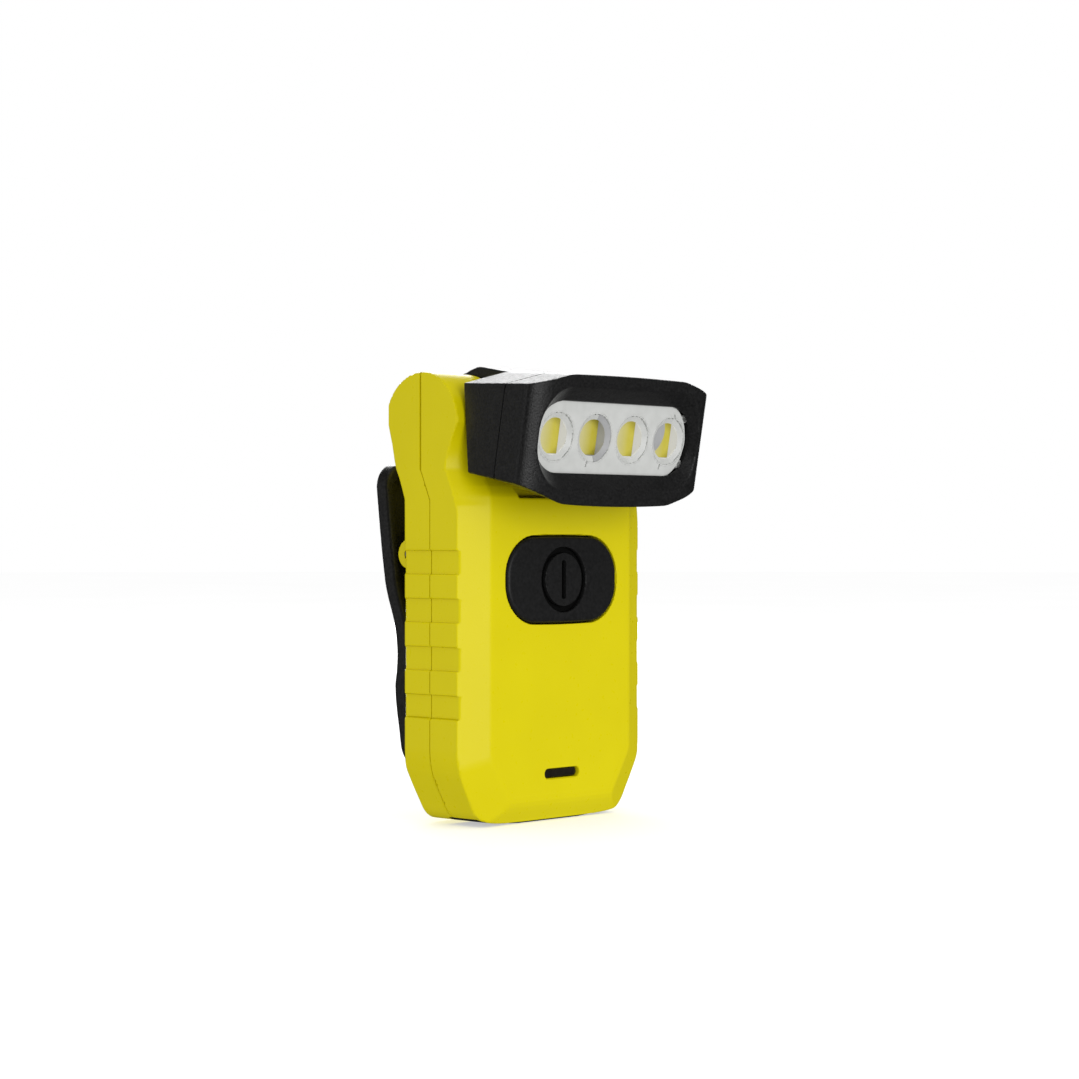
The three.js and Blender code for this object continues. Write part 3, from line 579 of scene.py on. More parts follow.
def wrapped(name, dark, light, roughness, scale=900):
    """A plain wrap, coating or foam: mottled colour and an uneven skin."""
    s = Surface(name, roughness)
    s.color(s.ramp(s.noise(scale, 3), [(0.3, dark), (0.7, light)]))
    s.bump((s.noise(scale * 2, 3), 0.03))
    return s.material


def make_materials():
    """Every finish by name: the slots in the record, and two more that the collimators need, which paint
    light and shade into them: a glow in their wells and a darker copy.
    """
    return {
        "yellow_plastic": yellow_plastic(),
        "black_plastic": black_plastic(),
        "button_rubber": button_rubber(),
        "seal_rubber": seal_rubber(),
        "clear_lens": clear_lens(),
        "frosted_plastic": frosted_plastic(),
        "shaded_plastic": shaded_plastic(),
        "collimator_plastic": collimator_plastic(),
        "led_phosphor": led_phosphor(),
        "smoked_window": smoked_window(),
        "steel": metal("steel", (0.50, 0.50, 0.51), (0.64, 0.64, 0.65), 0.22, 0.36),
        "brass": metal("brass", (0.62, 0.44, 0.16), (0.78, 0.58, 0.25), 0.18, 0.30),
        "aluminium": metal("aluminium", (0.56, 0.57, 0.58), (0.68, 0.69, 0.70), 0.35, 0.50),
        "circuit_board": circuit_board(),
        "black_component": wrapped("black_component", (0.012, 0.012, 0.012), (0.03, 0.03, 0.03), 0.55),
        "battery_foil": wrapped("battery_foil", (0.14, 0.19, 0.27), (0.22, 0.28, 0.37), 0.35),
        "foam": wrapped("foam", (0.03, 0.03, 0.033), (0.07, 0.07, 0.075), 0.9, 2600),
        "coil_ferrite": wrapped("coil_ferrite", (0.04, 0.04, 0.043), (0.08, 0.08, 0.085), 0.6),
        "lead_red": wrapped("lead_red", (0.30, 0.02, 0.015), (0.38, 0.03, 0.02), 0.45),
        "lead_black": wrapped("lead_black", (0.010, 0.010, 0.010), (0.02, 0.02, 0.02), 0.5),
    }


# ---------------------------------------------------------------- case
def barrel_arc(start, end, steps=64):
    """(y, z) points on the hinge barrel, by angle from +Y."""
    angles = [math.radians(start + (end - start) * i / steps) for i in range(steps + 1)]
    return [(HINGE_Y + BARREL_RADIUS * math.cos(t), HINGE_Z + BARREL_RADIUS * math.sin(t)) for t in angles]


def heights_and_depths(rows, arc, low, high):
    """Profile rows carried on up the barrel, as arrays of z and y, with y kept between low and high."""
    full = smooth_rows(rows) + [(z, y) for y, z in arc]
    z, y = np.array(full).T
    return z, np.clip(y, low, high)


FRONT_ARC = barrel_arc(180, 91)
BACK_ARC = barrel_arc(0, 89)
FACE_FRONT_TABLE = heights_and_depths(FACE_FRONT, FRONT_ARC, -99, 99)
FACE_BACK_TABLE = heights_and_depths(FACE_BACK, BACK_ARC, -99, 99)
SIDE_FRONT_TABLE = heights_and_depths(SIDE_FRONT, FRONT_ARC, -7.8, 99)
SIDE_BACK_TABLE = heights_and_depths(SIDE_BACK, BACK_ARC, -99, 12.2)
# Closed outlines: the case from the side as (y, z), and its right half from the front as (x, z).
PROFILE = ([(y, z) for z, y in smooth_rows(FACE_FRONT)] + barrel_arc(180, 0)
           + [(y, z) for z, y in smooth_rows(FACE_BACK)][::-1])
FRONT_VIEW_HALF = [(w, z) for z, w in smooth_rows([(z, w) for w, z in FOOT[2:]])]
FRONT_VIEW = FOOT[:2] + FRONT_VIEW_HALF + [(HALF_WIDTH, 99), (-9, 99), (-9, 0)]


def bevel(out, depth, face, edge, run=BEVEL_RUN):
    """Distance outside a chamfer that runs from the face to the side. out is measured from the side and
    depth outwards; face and edge are the depths at the chamfer's two ends."""
    rise = face - edge
    return ((out + run) * rise + (depth - face) * run) / np.hypot(run, rise)


def corner_out(side, z):
    """Distance outside the cut lower corner."""
    return ((side - 24.05) * 7.9 - (z - 6.35) * 4.9) / math.hypot(7.9, 4.9)


def case_outside(x, y, z):
    side = np.abs(x)
    out = side - HALF_WIDTH
    front = bevel(out, -y, -np.interp(z, *FACE_FRONT_TABLE), -np.interp(z, *SIDE_FRONT_TABLE))
    back = bevel(out, y, np.interp(z, *FACE_BACK_TABLE), np.interp(z, *SIDE_BACK_TABLE))
    corner_front = bevel(corner_out(side, z), -y, FACE_DEPTH, EDGE_DEPTH)
    corner_back = bevel(corner_out(side, z), y, BACK_DEPTH, BACK_EDGE_DEPTH)
    faces = both(0.25, polygon(y, z, PROFILE), front, corner_front, back, corner_back)
    return both(0.3, faces, polygon(side, z, FRONT_VIEW))


def grip_grooves(x, y, z):
    side = np.abs(x)
    bands = [rounded_rectangle(y, z, -8.2, 7.7, middle - GRIP_HALF, middle + GRIP_HALF, 0.8)
             for middle in GRIP_MIDDLES]
    return np.maximum(HALF_WIDTH - GRIP_DEPTH - side, joined(*bands))


def saddle(x, y, z):
    """The room for the head's knuckle, and the recess in front of it."""
    side = np.abs(x)
    room = np.minimum(disc(y, z, HINGE_Y, HINGE_Z, 12.8), HINGE_Z - z)
    notch = polygon(side, z, [(-1, 66.6), (12.6, 66.6), (13.6, 68.3), (13.6, 80), (-1, 80)])
    return np.minimum(np.maximum(side - 14.1, room), np.maximum(notch, y + 6.8))


def base_opening(x, y, z):
    return np.maximum(rounded_rectangle(x, y, -20.5, 20.5, -7.5, 2.2, 0.8), z - 6.0)


def hollow(x, y, z):
    side = np.abs(x)
    out, corner = side - (HALF_WIDTH - WALL), corner_out(side, z) + WALL
    front = bevel(out, -y, *CAVITY_FRONT, CAVITY_BEVEL)
    back = bevel(out, y, *CAVITY_BACK, CAVITY_BEVEL)
    corner_front = bevel(corner, -y, *CAVITY_FRONT, CAVITY_BEVEL)
    corner_back = bevel(corner, y, *CAVITY_BACK, CAVITY_BEVEL)
    walls = polygon(side + WALL, z - WALL, FRONT_VIEW)
    depth = within(y, -CAVITY_FRONT[0], CAVITY_BACK[0])
    return shared(walls, depth, front, back, corner_front, corner_back, within(z, 5.5, 66.0))


def case_body(x, y, z):
    """Both shells as one body, without the openings that only one of them has."""
    body = without(0.35, case_outside(x, y, z), grip_grooves(x, y, z), saddle(x, y, z))
    body = np.maximum(body, -base_opening(x, y, z))
    pins = np.maximum(disc(y, z, HINGE_Y, HINGE_Z, PIN_BORE_RADIUS), np.abs(x) - 24.5)
    return shared(body, -hollow(x, y, z), -pins)


def seam_side(y, z):
    """Distance behind the seam, which runs straight up the case and then over to the hinge axis."""
    low, high = SEAM_BEND
    return (y - np.interp(z, SEAM_BEND, [0, HINGE_Y])) * np.where((z > low) & (z < high), SEAM_LEAN, 1)


def front_shell_field(x, y, z):
    button_hole = button_outline(x, z) - 0.28
    slot = rounded_rectangle(x, z, -5.2, 5.2, SLOT_Z - 1, SLOT_Z + 1, 0.95)
    openings = np.maximum(np.minimum(button_hole, slot), y + 4)
    body = without(0.3, case_body(x, y, z), openings)
    return np.maximum(body, seam_side(y, z) + SEAM_GAP / 2)


def lug_field(x, y, z):
    """The cheeks that hold the clip pin."""
    stem = np.maximum(within(z, PIVOT_Z - 3.1, PIVOT_Z + 3.1), y - PIVOT_Y)
    outline = np.minimum(disc(y, z, PIVOT_Y, PIVOT_Z, 3.1), stem)
    cheek = both(0.35, outline, within(np.abs(x), 19, 22))
    return np.maximum(cheek, 7.2 - y)


def rear_shell_field(x, y, z):
    side = np.abs(x)
    body = either(0.3, case_body(x, y, z), lug_field(x, y, z))
    sinks = [disc(side, z, SCREW_X, level, 2.6) for level in SCREW_LEVELS]
    sink = np.maximum(np.minimum(*sinks), 8.5 - y)
    pocket = np.maximum(rounded_rectangle(x, z, -17.4, 17.4, PIVOT_Z - 3.3, PIVOT_Z + 3.3, 0.6), 8.9 - y)
    pin = np.maximum(disc(y, z, PIVOT_Y, PIVOT_Z, 1.1), side - 24)
    body = without(0.25, body, sink, pocket)
    body = np.maximum(body, -pin)
    return np.maximum(body, SEAM_GAP / 2 - seam_side(y, z))


def base_insert_field(x, y, z):
    foot = rounded_rectangle(x, y, -20.25, 20.25, -7.25, 2.0, 0.6)
    insert = both(0.3, np.maximum(foot, z - 5.9), polygon(np.abs(x), z, FRONT_VIEW))
    flange = np.maximum(rounded_rectangle(x, y, -15.4, 15.4, -8.2, 2.9, 0.4), within(z, 5.8, 6.9))
    bores = disc(np.abs(x), y, CONTACT_X, CONTACT_Y, 1.65)
    return without(0.15, np.minimum(insert, flange), bores)


def contact_field(x, y, z):
    """One charging pin with a rounded tip; x is measured from its axis."""
    radius = np.hypot(x, y - CONTACT_Y)
    pin = both(0.7, radius - 1.5, within(z, 0.3, 7.9))
    return np.minimum(pin, both(0.1, radius - 2.2, within(z, 7.1, 7.9)))


def window_field(x, y, z):
    light = rounded_rectangle(x, z, -5.05, 5.05, SLOT_Z - 0.85, SLOT_Z + 0.85, 0.8)
    flange = rounded_rectangle(x, z, -6.6, 6.6, SLOT_Z - 1.9, SLOT_Z + 1.9, 0.9)
    return np.minimum(both(0.2, light, within(y, -10.2, -8.0)), both(0.1, flange, within(y, -8.6, -7.8)))


def screw_field(x, y, z):
    """A case screw seen from behind: a domed head with a six-lobed socket; x and z are from its axis."""
    radius, turn = np.hypot(x, z), np.arctan2(z, x)
    head = both(0.35, radius - 2.3, within(y, 8.6, 10.1))
    shank = np.maximum(radius - 1.2, within(y, 5.0, 8.8))
    socket = np.maximum(radius - 1.0 - 0.16 * np.cos(6 * turn), 9.2 - y)
    return without(0.08, np.minimum(head, shank), socket)


def build_case(mat):
    yellow, black = mat["yellow_plastic"], mat["black_plastic"]
    low, high = (-27.6, -11.1, -0.1), (27.6, 3.0, 92.1)
    front = field_piece("front_shell_skin", front_shell_field, low, high, 0.42, yellow)
    stands_for(front, "case", "yellow_plastic", "front_shell")
    low, high = (-27.6, -0.5, -0.1), (27.6, 15.3, 92.1)
    rear = field_piece("rear_shell_skin", rear_shell_field, low, high, 0.42, yellow)
    stands_for(rear, "case", "yellow_plastic", "rear_shell")
    base = field_piece("base_insert_skin", base_insert_field, (-20.4, -8.3, 0), (20.4, 3, 7), 0.3, black)
    stands_for(base, "case", "black_plastic", "base_insert")
    for side, s in (("left", -1), ("right", 1)):
        low, high = (s * CONTACT_X - 2.3, -6, 0.2), (s * CONTACT_X + 2.3, -1.2, 8)
        pin = field_piece(f"contact_{side}_skin", moved(contact_field, s * CONTACT_X), low, high, 0.16,
                          mat["brass"])
        stands_for(pin, "case", "brass", f"charge_contact_{side}")
    window = field_piece("status_window_skin", window_field, (-6.7, -10.3, 8), (6.7, -7.7, 12), 0.16,
                         mat["smoked_window"])
    stands_for(window, "case", "smoked_window", "status_window")
    places = [(s * SCREW_X, level) for level in SCREW_LEVELS for s in (-1, 1)]
    for n, (sx, sz) in enumerate(places, 1):
        low, high = (sx - 2.4, 4.9, sz - 2.4), (sx + 2.4, 10.2, sz + 2.4)
        field = moved(screw_field, sx, sz)
        screw = field_piece(f"case_screw_{n}_skin", field, low, high, 0.14, mat["steel"])
        stands_for(screw, "case", "steel", f"case_screw_{n}")


# ---------------------------------------------------------------- power button
def button_outline(x, z):
    """The cap from the front: four gently bowed sides with wide corners."""
    across = np.minimum(np.abs(x) / BUTTON_HALF, 1)
    up = np.minimum(np.abs(z - BUTTON_Z) / BUTTON_RISE, 1)
    half, rise = BUTTON_HALF - 0.7 * up ** 2, BUTTON_RISE - 0.45 * across ** 2
    return rounded_rectangle(x, z - BUTTON_Z, -half, half, -rise, rise, 7.3)


def button_field(x, y, z):
    cap = button_outline(x, z)
    face = -11.5 + 0.2 * (np.abs(x) / BUTTON_HALF) ** 2
    body = both(0.9, cap, within(y, face, -7.3))
    rim = rounded_rectangle(x, z - BUTTON_Z, -17.6, 17.6, -10.3, 10.3, 8.6)
    flange = both(0.1, rim, within(y, -7.9, -7.2))
    ring = np.abs(np.hypot(x, z - BUTTON_Z) - 6.12) - 0.62
    bar = rounded_rectangle(x, z - BUTTON_Z, -0.62, 0.62, -3.95, 3.95, 0.5)
    engraving = np.maximum(np.minimum(ring, bar), y + 10.4)
    return without(0.15, np.minimum(body, flange), engraving)


def build_button(mat):
    low, high = (-17.7, -11.6, BUTTON_Z - 10.4), (17.7, -7.1, BUTTON_Z + 10.4)
    button = field_piece("power_button_skin", button_field, low, high, 0.24, mat["button_rubber"])
    stands_for(button, "button", "button_rubber", "power_button")


# ---------------------------------------------------------------- clip
CLIP_CURVE = [(y, z) for z, y in smooth_rows([(z, y) for y, z in CLIP_FACE[::-1]], 4)]


def clip_band(y, z, near, far):
    """What lies between the clip's outer face moved in by near and by far."""
    outer = [(a - near, b) for a, b in CLIP_CURVE]
    inner = [(a - far, b) for a, b in CLIP_CURVE[::-1]]
    return polygon(y, z, outer + inner)


def clip_field(x, y, z):
    side = np.abs(x)
    lower = rounded_rectangle(side, z, -22, 22, 10, 90, 6)
    upper = rounded_rectangle(side, z, -22, 22, -20, 74, 5.5)
    slab = both(0.8, clip_band(y, z, 0, 3.6), np.maximum(lower, upper))
    pocket = np.maximum(clip_band(y, z, 2.2, 9), rounded_rectangle(side, z, -20.2, 20.2, 31, 71, 3.0))
    neck = polygon(y, z, [(11.2, 57.6), (13.2, 52.6), (18.3, 50.6), (19.3, 61.0)])
    web = both(0.3, np.minimum(disc(y, z, PIVOT_Y, PIVOT_Z, 2.6), neck), within(side, 12.2, 16.2))
    bore = np.maximum(disc(y, z, PIVOT_Y, PIVOT_Z, 1.12), side - 18)
    return np.maximum(either(0.4, without(0.5, slab, pocket), web), -bore)


def spring_path():
    """The torsion spring's wire: a leg on the case, seven turns on the pin, a leg on the clip."""
    half, radius, turns, per_turn = SPRING_HALF, 1.75, 7, 16
    points = [(-half, 11.15, 46.5), (-half, 11.2, 50.4), (-half, 10.7, 52.8)]
    for i in range(turns * per_turn + 1):
        t = 2 * math.pi * i / per_turn + math.pi
        x = half * (2 * i / (turns * per_turn) - 1)
        points.append((x, PIVOT_Y + radius * math.cos(t), PIVOT_Z - radius * math.sin(t)))
    return points + [(half, 12.6, 59.5), (half, 16.4, 64.5)]


def spring_piece(material):
    curve = bpy.data.curves.new("spring_path", "CURVE")
    curve.dimensions = "3D"
    curve.bevel_depth = 0.42 * MM
    curve.bevel_resolution = 5
    curve.resolution_u = 4
    curve.use_fill_caps = True
    points = spring_path()
    spline = curve.splines.new("NURBS")
    spline.points.add(len(points) - 1)
    for point, place in zip(spline.points, points):
        point.co = (*(Vector(place) * MM), 1)
    spline.use_endpoint_u = True
    spline.order_u = 4
    drawn = bpy.data.objects.new("spring_path", curve)
    mesh = bpy.data.meshes.new_from_object(drawn)
    bpy.data.objects.remove(drawn)
    mesh.materials.clear()
    mesh.materials.append(material)
    made = bpy.data.objects.new("clip_spring_wire", mesh)
    bpy.context.scene.collection.objects.link(made)
    return made


def clip_pin_field(x, y, z):
    return both(0.45, disc(y, z, PIVOT_Y, PIVOT_Z, 1.0), np.abs(x) - 22.3)


def build_clip(mat):
    low, high = (-22.1, 9.2, 9.9), (22.1, 22.7, 74.1)
    clip = field_piece("clip_lever_skin", clip_field, low, high, 0.4, mat["black_plastic"])
    stands_for(clip, "clip", "black_plastic", "clip_lever")
    low, high = (-22.4, 10.9, 54), (22.4, 13.1, 56.2)
    pin = field_piece("clip_pin_skin", clip_pin_field, low, high, 0.2, mat["steel"])
    stands_for(pin, "case", "steel", "clip_pin")
    spring = spring_piece(mat["steel"])
    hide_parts("clip_spring")
    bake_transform(spring)  # the coil winds from one leg to the other


# ---------------------------------------------------------------- head, in its own axes on the hinge
def by_depth(y, rear, rim):
    """A head measure that changes evenly from the rear of the wings to the rim."""
    return rear + (rim - rear) * (y - REAR_Y) / (RIM_Y - REAR_Y)


def facet(a, b, a0, b0, a1, b1):
    """Distance outside the line from (a0, b0) to (a1, b1), on its left going along it."""
    da, db = a1 - a0, b1 - b0
    return ((b - b0) * da - (a - a0) * db) / np.hypot(da, db)


def head_outline(x, y, z):
    """The eight-sided funnel shape of the head, endless in depth."""
    side = np.abs(x)
    half = by_depth(y, 25.5, RIM_HALF)
    bow = by_depth(y, 0, 1) * np.maximum(1 - (x / 17) ** 2, 0)
    top, top_half, top_side = by_depth(y, 12.4, 14.6), by_depth(y, 13.5, 17.3), by_depth(y, 9.6, 12.2)
    low, low_half = by_depth(y, -8.3, -11.3), by_depth(y, 15, 16.3)
    shoulder = facet(side, z, top_half, top, half, top_side)
    chin = -facet(side, z, low_half, low, half, -7.9)
    return both(0.3, z - top - 0.2 * bow, shoulder, low - z - 0.45 * bow, chin, side - half)


def wing_back(y, z):
    """Distance behind the plane that clears the case's barrel."""
    return ((y + 8.6) * 17.5 - (z - 9.6) * 4.6) / math.hypot(17.5, 4.6)


def head_rear_field(x, y, z):
    side = np.abs(x)
    outside = head_outline(x, y, z)
    wings = both(0.35, outside, np.maximum(np.minimum(wing_back(y, z), side - 12.7), y + 7.6))
    under = polygon(y, z, [(-15.7, -12), (-15.7, -8.4), (-12.0, -4.7), (8, -4.7), (8, -12)])
    wings = without(0.3, wings, np.maximum(under, side - 24))
    shoulder = polygon(y, z, rounded_corners([(-12, -4.5), (0, -4.5), (3.9, 10.5), (3.2, 11.1), (0.7, 12.3),
                                              (-0.5, 12.4), (-12, 12.4)], 0.4))
    knuckle = both(0.4, np.minimum(shoulder, disc(y, z, 0, 0, 11.3)), side - 12.7)
    lead = both(0.6, side - 4.5, within(y, -4.6, 13), within(z, -13, 2))
    body = without(0.4, np.minimum(wings, knuckle), lead)
    parting = np.maximum(body, PARTING_Y + SEAM_GAP / 2 - y)
    bay = np.maximum(rounded_rectangle(x, z, -19.6, 19.6, -5.2, 9.2, 1.0), y + 14)
    ends = np.maximum(rounded_rectangle(x, z, -20.9, 20.9, -1.9, 5.5, 1.0), y + 16)
    drum = np.maximum(disc(y, z, 0, 0, 9.4), side - 8.5)
    pins = np.maximum(disc(y, z, 0, 0, PIN_BORE_RADIUS), side - 15)
    return shared(parting, -bay, -ends, -drum, -pins)


def rim_plan():
    """The head from above: a straight rim that rounds back at each side in a quarter of an ellipse."""
    wide, deep = 7.8, 3.6
    turn = [math.radians(angle) for angle in range(0, 91, 5)]
    corner = [(RIM_HALF + wide * (math.sin(t) - 1), RIM_Y + deep * (1 - math.cos(t))) for t in turn]
    return [(-30, RIM_Y), *corner, (RIM_HALF, 0), (-30, 0)]


def funnel(x, y, z):
    """The opening in front of the lens, wide at the rim and narrow at the plate."""
    t = np.clip((y + 31.5) / 3.3, 0, 1)
    half = 25.1 - 1.8 * t
    low, high = -9.7 + 4.3 * t, 13.55 - 4.55 * t
    mouth = rounded_rectangle(x, z, -half, half, low, high, 9.4 - 2.4 * t)
    return np.maximum(mouth, y + 27.8) * np.where(t < 1, 0.62, 1)


def head_bezel_field(x, y, z):
    skin = both(0.3, head_outline(x, y, z), polygon(np.abs(x), y, rim_plan()))
    seat = np.maximum(rounded_rectangle(x, z, -24.2, 24.2, -6.3, 9.9, 6.7), -28.0 - y)
    rim = without(0.3, skin, funnel(x, y, z))
    return shared(rim, -seat, y - (PARTING_Y - SEAM_GAP / 2))


def optic_places():
    return [(n - 1.5) * OPTIC_PITCH for n in range(4)]


def lens_field(x, y, z):
    """The light plate behind the rim: a hole with a low lip for each collimator, and a right end that stops
    short of the funnel. Short nicks part the lip where the plate snaps over its collimator."""
    plate = both(0.2, rounded_rectangle(x, z, -24.1, 22.3, -6.1, 9.7, 7.4), within(y, PLATE_Y, -26.3))
    radius = joined(*[np.hypot(x - cx, z - OPTIC_Z) for cx in optic_places()])
    lip = both(0.06, np.abs(radius - 5.08) - 0.14, within(y, PLATE_Y - 0.07, -27))
    nicks = [(1, -1.6, -5.3, 0.3), (3, 1.2, 5.1, -0.3), (3, -1.9, -5.4, 0.25)]
    cuts = []
    for n, dx, dz, lean in nicks:
        u, v = x - optic_places()[n] - dx, z - OPTIC_Z - dz
        cuts.append(rounded_rectangle(u - lean * v, v, -0.13, 0.13, -0.6, 0.6, 0.12))
    cut = np.maximum(joined(*cuts), y - PLATE_Y - 0.6)
    return without(0.05, either(0.1, plate, lip), radius - 4.9, cut)


def holder_field(x, y, z):
    """The frame that carries the collimators, with a pierced tab at each right-hand and left-hand corner."""
    plate = both(0.2, rounded_rectangle(x, z, -23.4, 23.4, -5.7, 9.3, 6.1), within(y, -25.8, -24.9))
    across = np.abs(np.abs(x) - OPTIC_PITCH)
    wells = rounded_rectangle(across, z, OPTIC_PITCH / 2 - 4.75, OPTIC_PITCH / 2 + 4.75, OPTIC_Z - 4.75,
                              OPTIC_Z + 4.75, 1.0)
    plate = without(0.15, plate, wells)
    up = np.abs(z - OPTIC_Z)
    tab = both(0.15, rounded_rectangle(np.abs(x), up, 20.9, 22.9, 3.9, 5.6, 0.4), within(y, -27.2, -25.5))
    eye = np.maximum(disc(np.abs(x), up, 22.0, 4.7, 0.42), y + 26.2)
    return without(0.1, either(0.15, plate, tab), eye)


def collimator_field(x, y, z):
    """One collimator from its axis: a dish, then a well that turns from round there to square at the LED."""
    radius = np.hypot(x, z)
    mouth = np.maximum(radius - 4.95, within(y, PLATE_Y + 0.04, -26.2))
    block = both(0.2, rounded_rectangle(x, z, -4.65, 4.65, -4.65, 4.65, 0.9), within(y, -26.28, -24.2))
    horn = np.maximum(radius - np.interp(y, [-24.3, -19.4], [4.4, 2.8]), within(y, -24.3, -19.4))
    dish = np.maximum((radius - np.interp(y, [-27.8, WELL_Y], [4.92, 3.73])) * 0.6, y - WELL_Y - 0.01)
    deep = np.clip((y - WELL_Y) / (FLOOR_Y - WELL_Y), 0, 1)
    half = 3.73 + 0.17 * deep
    well = np.maximum(rounded_rectangle(x, z, -half, half, -half, half, 3.73 - 3.3 * deep), y - FLOOR_Y)
    return without(0.06, joined(mouth, block, horn), np.minimum(dish, well))


def painted_reflection_field(x, y, z):
    """A dark sheet inside the last collimator, which hides the left of its LED: a painted reflection of the
    neighbouring collimator's ring.
    """
    step = np.maximum(disc(x, z, -5.5, 2.0, 5.0), disc(x, z, 0, 0, 4.4))
    return both(0.06, step, within(y, -26.95, -26.5))


def phosphor_field(x, y, z):
    """The LED as the collimator shows it: a square that fills the floor of the well."""
    square = rounded_rectangle(x, z, -3.86, 3.86, -3.86, 3.86, 0.4)
    return both(0.08, square, within(y, FLOOR_Y - 0.05, -24.4))


def build_optic(n, cx, mat):
    """One collimator, in a light part and, where it lies in shade, a darker one with painted shade, with its
    LED.
    """
    light, shade = mat["collimator_plastic"], mat["shaded_plastic"]
    optic = moved(collimator_field, cx, OPTIC_Z)
    low, high = (cx - 5, -27.9, OPTIC_Z - 5), (cx + 5, -19.3, OPTIC_Z + 5)
    # painted shade and dark reflection: the right of this collimator is a separate piece in the darker
    # shaded copy
    if n == SPLIT_OPTIC:
        split = cx + 0.7
        parts = [("skin", lambda x, y, z: np.maximum(optic(x, y, z), x - split), light),
                 ("shade", lambda x, y, z: np.maximum(optic(x, y, z), split - x), shade)]
    else:
        parts = [("skin", optic, light)]
    pieces = [field_piece(f"optic_{n}_{part}", field, low, high, 0.22, material, True)
              for part, field, material in parts]
    # painted reflection: a dark sheet in the shaded copy stands in the well where the neighbouring ring
    # shows reflected
    if n == REFLECTION_SHEET_OPTIC:
        low, high = (cx - 4.5, -27, OPTIC_Z - 4.5), (cx, -26.4, OPTIC_Z + 4.5)
        step = moved(painted_reflection_field, cx, OPTIC_Z)
        pieces.append(field_piece(f"optic_{n}_step", step, low, high, 0.16, shade, True))
    for made in pieces:
        stands_for(made, "head", "frosted_plastic", f"optic_{n}")
    low, high = (cx - 4, -25, OPTIC_Z - 4), (cx + 4, -24.3, OPTIC_Z + 4)
    led = moved(phosphor_field, cx, OPTIC_Z)
    glow = field_piece(f"led_{n}_skin", led, low, high, 0.2, mat["led_phosphor"], True)
    stands_for(glow, "head", "led_phosphor", f"led_{n}")


def build_head(mat):
    black, light = mat["black_plastic"], mat["frosted_plastic"]
    low, high = (-27.4, -21.3, -11.9), (27.4, 11.4, 14.9)
    rear = field_piece("head_rear_skin", head_rear_field, low, high, 0.38, black, True)
    stands_for(rear, "head", "black_plastic", "head_rear_shell")
    low, high = (-27.4, -30.8, -11.9), (27.4, -21.1, 14.9)
    bezel = field_piece("head_bezel_skin", head_bezel_field, low, high, 0.32, black, True)
    stands_for(bezel, "head", "black_plastic", "head_bezel")
    low, high = (-24.2, -28, -6.2), (24.1, -26.2, 9.8)
    lens = field_piece("lens_plate_skin", lens_field, low, high, 0.2, light, True)
    stands_for(lens, "head", "frosted_plastic", "lens_plate")
    low, high = (-23.5, -27.3, -5.8), (23.5, -24.8, 9.4)
    holder = field_piece("optic_frame_skin", holder_field, low, high, 0.24, light, True)
    stands_for(holder, "head", "frosted_plastic", "optic_frame")
    for n, cx in enumerate(optic_places(), 1):
        build_optic(n, cx, mat)


# ---------------------------------------------------------------- carried-over CAD nodes
def finish_cad_nodes(frame, mat):
    """Gives every CAD node that stays its procedural material, by its slot in the record."""
    for entry in frame["record"]["subparts"]:
        node = frame["nodes"][entry["node"]]
        material = mat[entry["material_slot"]]
        node.data.materials.clear()
        node.data.materials.append(material)


# ---------------------------------------------------------------- stage
def build_floor():
    """A pale paper floor, which only the camera sees, so that the fill light is as even below as above."""
    mesh = bpy.data.meshes.new("floor")
    work = bmesh.new()
    bmesh.ops.create_circle(work, cap_ends=True, radius=4.0, segments=64)
    work.to_mesh(mesh)
    work.free()
    floor = bpy.data.objects.new("floor", mesh)
    floor.visible_diffuse = False
    floor.visible_glossy = False
    floor.visible_shadow = False
    bpy.context.scene.collection.objects.link(floor)
    s = Surface("floor_paper", 0.8, specular=0.0)
    s.color(s.ramp(s.noise(6, 2), [(0.3, (0.80, 0.80, 0.80)), (0.7, (0.82, 0.82, 0.82))]))
    s.glow(0.48)
    mesh.materials.append(s.material)


def area_light(name, place, target, width, height, power):
    data = bpy.data.lights.new(name, "AREA")
    data.shape = "RECTANGLE"
    data.size, data.size_y, data.energy = width, height, power
    light = bpy.data.objects.new(name, data)
    light.location = place
    light.rotation_euler = (Vector(target) - Vector(place)).to_track_quat("-Z", "Y").to_euler()
    light.visible_camera = False
    bpy.context.scene.collection.objects.link(light)


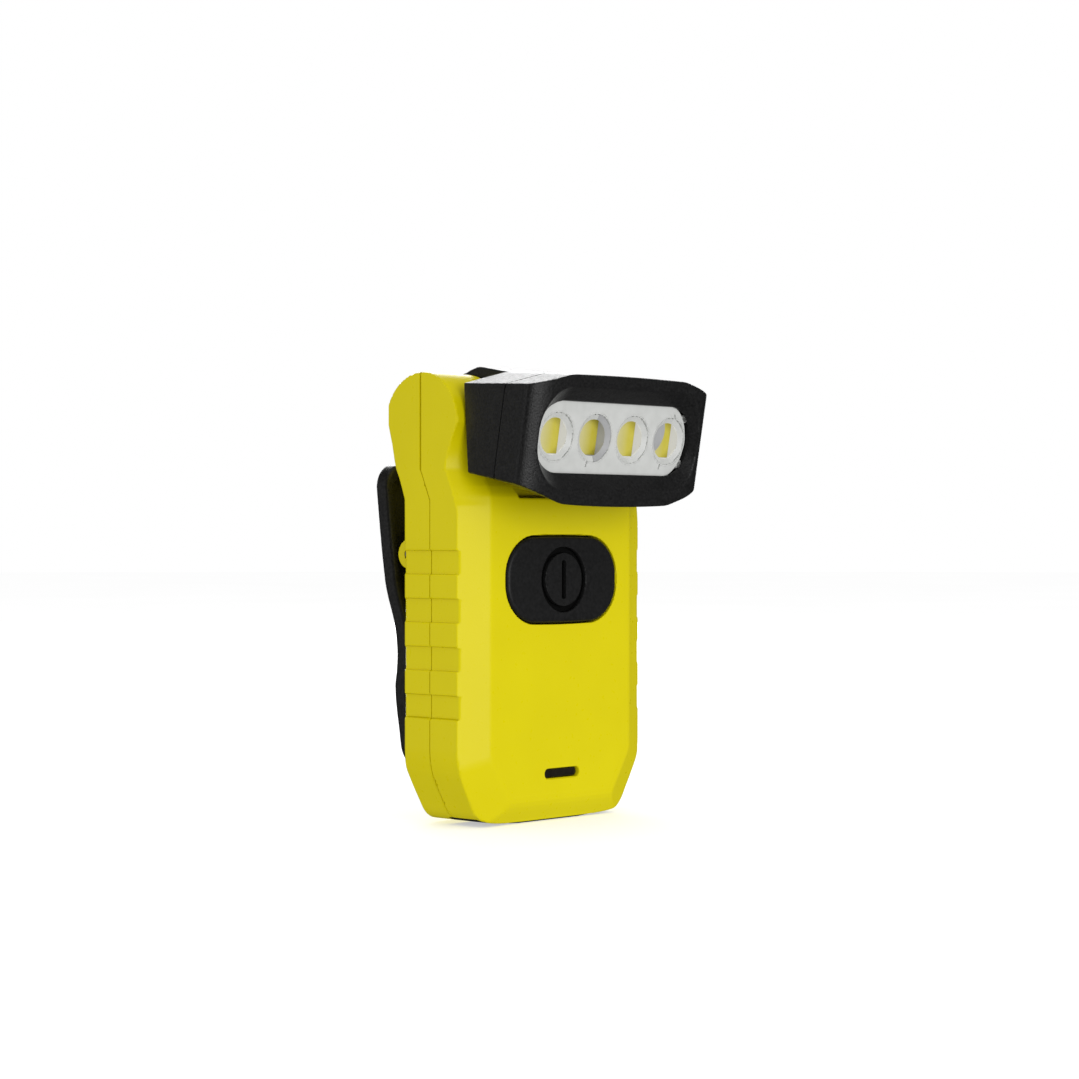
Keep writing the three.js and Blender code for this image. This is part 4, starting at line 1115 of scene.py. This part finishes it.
def build_world():
    """White to the camera, an even fill for the object, and almost nothing in its gloss, which is left to
    the softboxes."""
    world = bpy.data.worlds.new("studio")
    world.use_nodes = True
    nodes, links = world.node_tree.nodes, world.node_tree.links
    ray = nodes.new("ShaderNodeLightPath")
    fill = nodes.new("ShaderNodeMapRange")
    fill.inputs["To Min"].default_value = 0.62
    fill.inputs["To Max"].default_value = 0.02
    links.new(ray.outputs["Is Glossy Ray"], fill.inputs["Value"])
    strength = nodes.new("ShaderNodeMath")
    strength.operation = "MAXIMUM"
    links.new(fill.outputs["Result"], strength.inputs[0])
    links.new(ray.outputs["Is Camera Ray"], strength.inputs[1])
    background = nodes["Background"]
    background.inputs["Color"].default_value = (1, 1, 1, 1)
    links.new(strength.outputs["Value"], background.inputs["Strength"])
    bpy.context.scene.world = world


def build_light():
    centre = (0, 0, 0.05)
    area_light("key", (-0.28, -1.17, 0.12), centre, 0.9, 0.8, 5.5)
    area_light("top", (0.0, 0.2, 1.3), centre, 1.2, 1.2, 1.5)
    area_light("back", (0.80, 0.85, 0.30), centre, 0.9, 0.8, 10)
    area_light("side", (-1.0, 0.72, 0.25), centre, 0.7, 0.9, 0.7)


def build_camera():
    data = bpy.data.cameras.new("camera")
    data.lens = 83.4
    data.sensor_width = 36
    data.clip_start, data.clip_end = 0.01, 50
    camera = bpy.data.objects.new("camera", data)
    camera.location = (-0.3794, -0.3608, 0.0581)
    camera.rotation_euler = (math.radians(90), 0, math.radians(-46.8))
    bpy.context.scene.collection.objects.link(camera)
    bpy.context.scene.camera = camera
    bpy.context.scene.view_settings.view_transform = "Standard"


# ---------------------------------------------------------------- the scene
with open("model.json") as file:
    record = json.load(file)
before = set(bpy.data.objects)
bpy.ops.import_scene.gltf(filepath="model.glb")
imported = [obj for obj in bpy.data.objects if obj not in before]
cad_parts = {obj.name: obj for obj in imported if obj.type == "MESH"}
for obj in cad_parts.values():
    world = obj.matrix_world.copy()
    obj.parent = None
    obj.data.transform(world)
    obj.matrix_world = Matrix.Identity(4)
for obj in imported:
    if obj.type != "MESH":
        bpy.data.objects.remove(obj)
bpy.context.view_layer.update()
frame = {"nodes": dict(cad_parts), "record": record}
materials = make_materials()
build_camera()
build_world()
build_light()
build_floor()
finish_cad_nodes(frame, materials)
build_case(materials)
build_button(materials)
build_clip(materials)
build_head(materials)
bpy.context.view_layer.update()
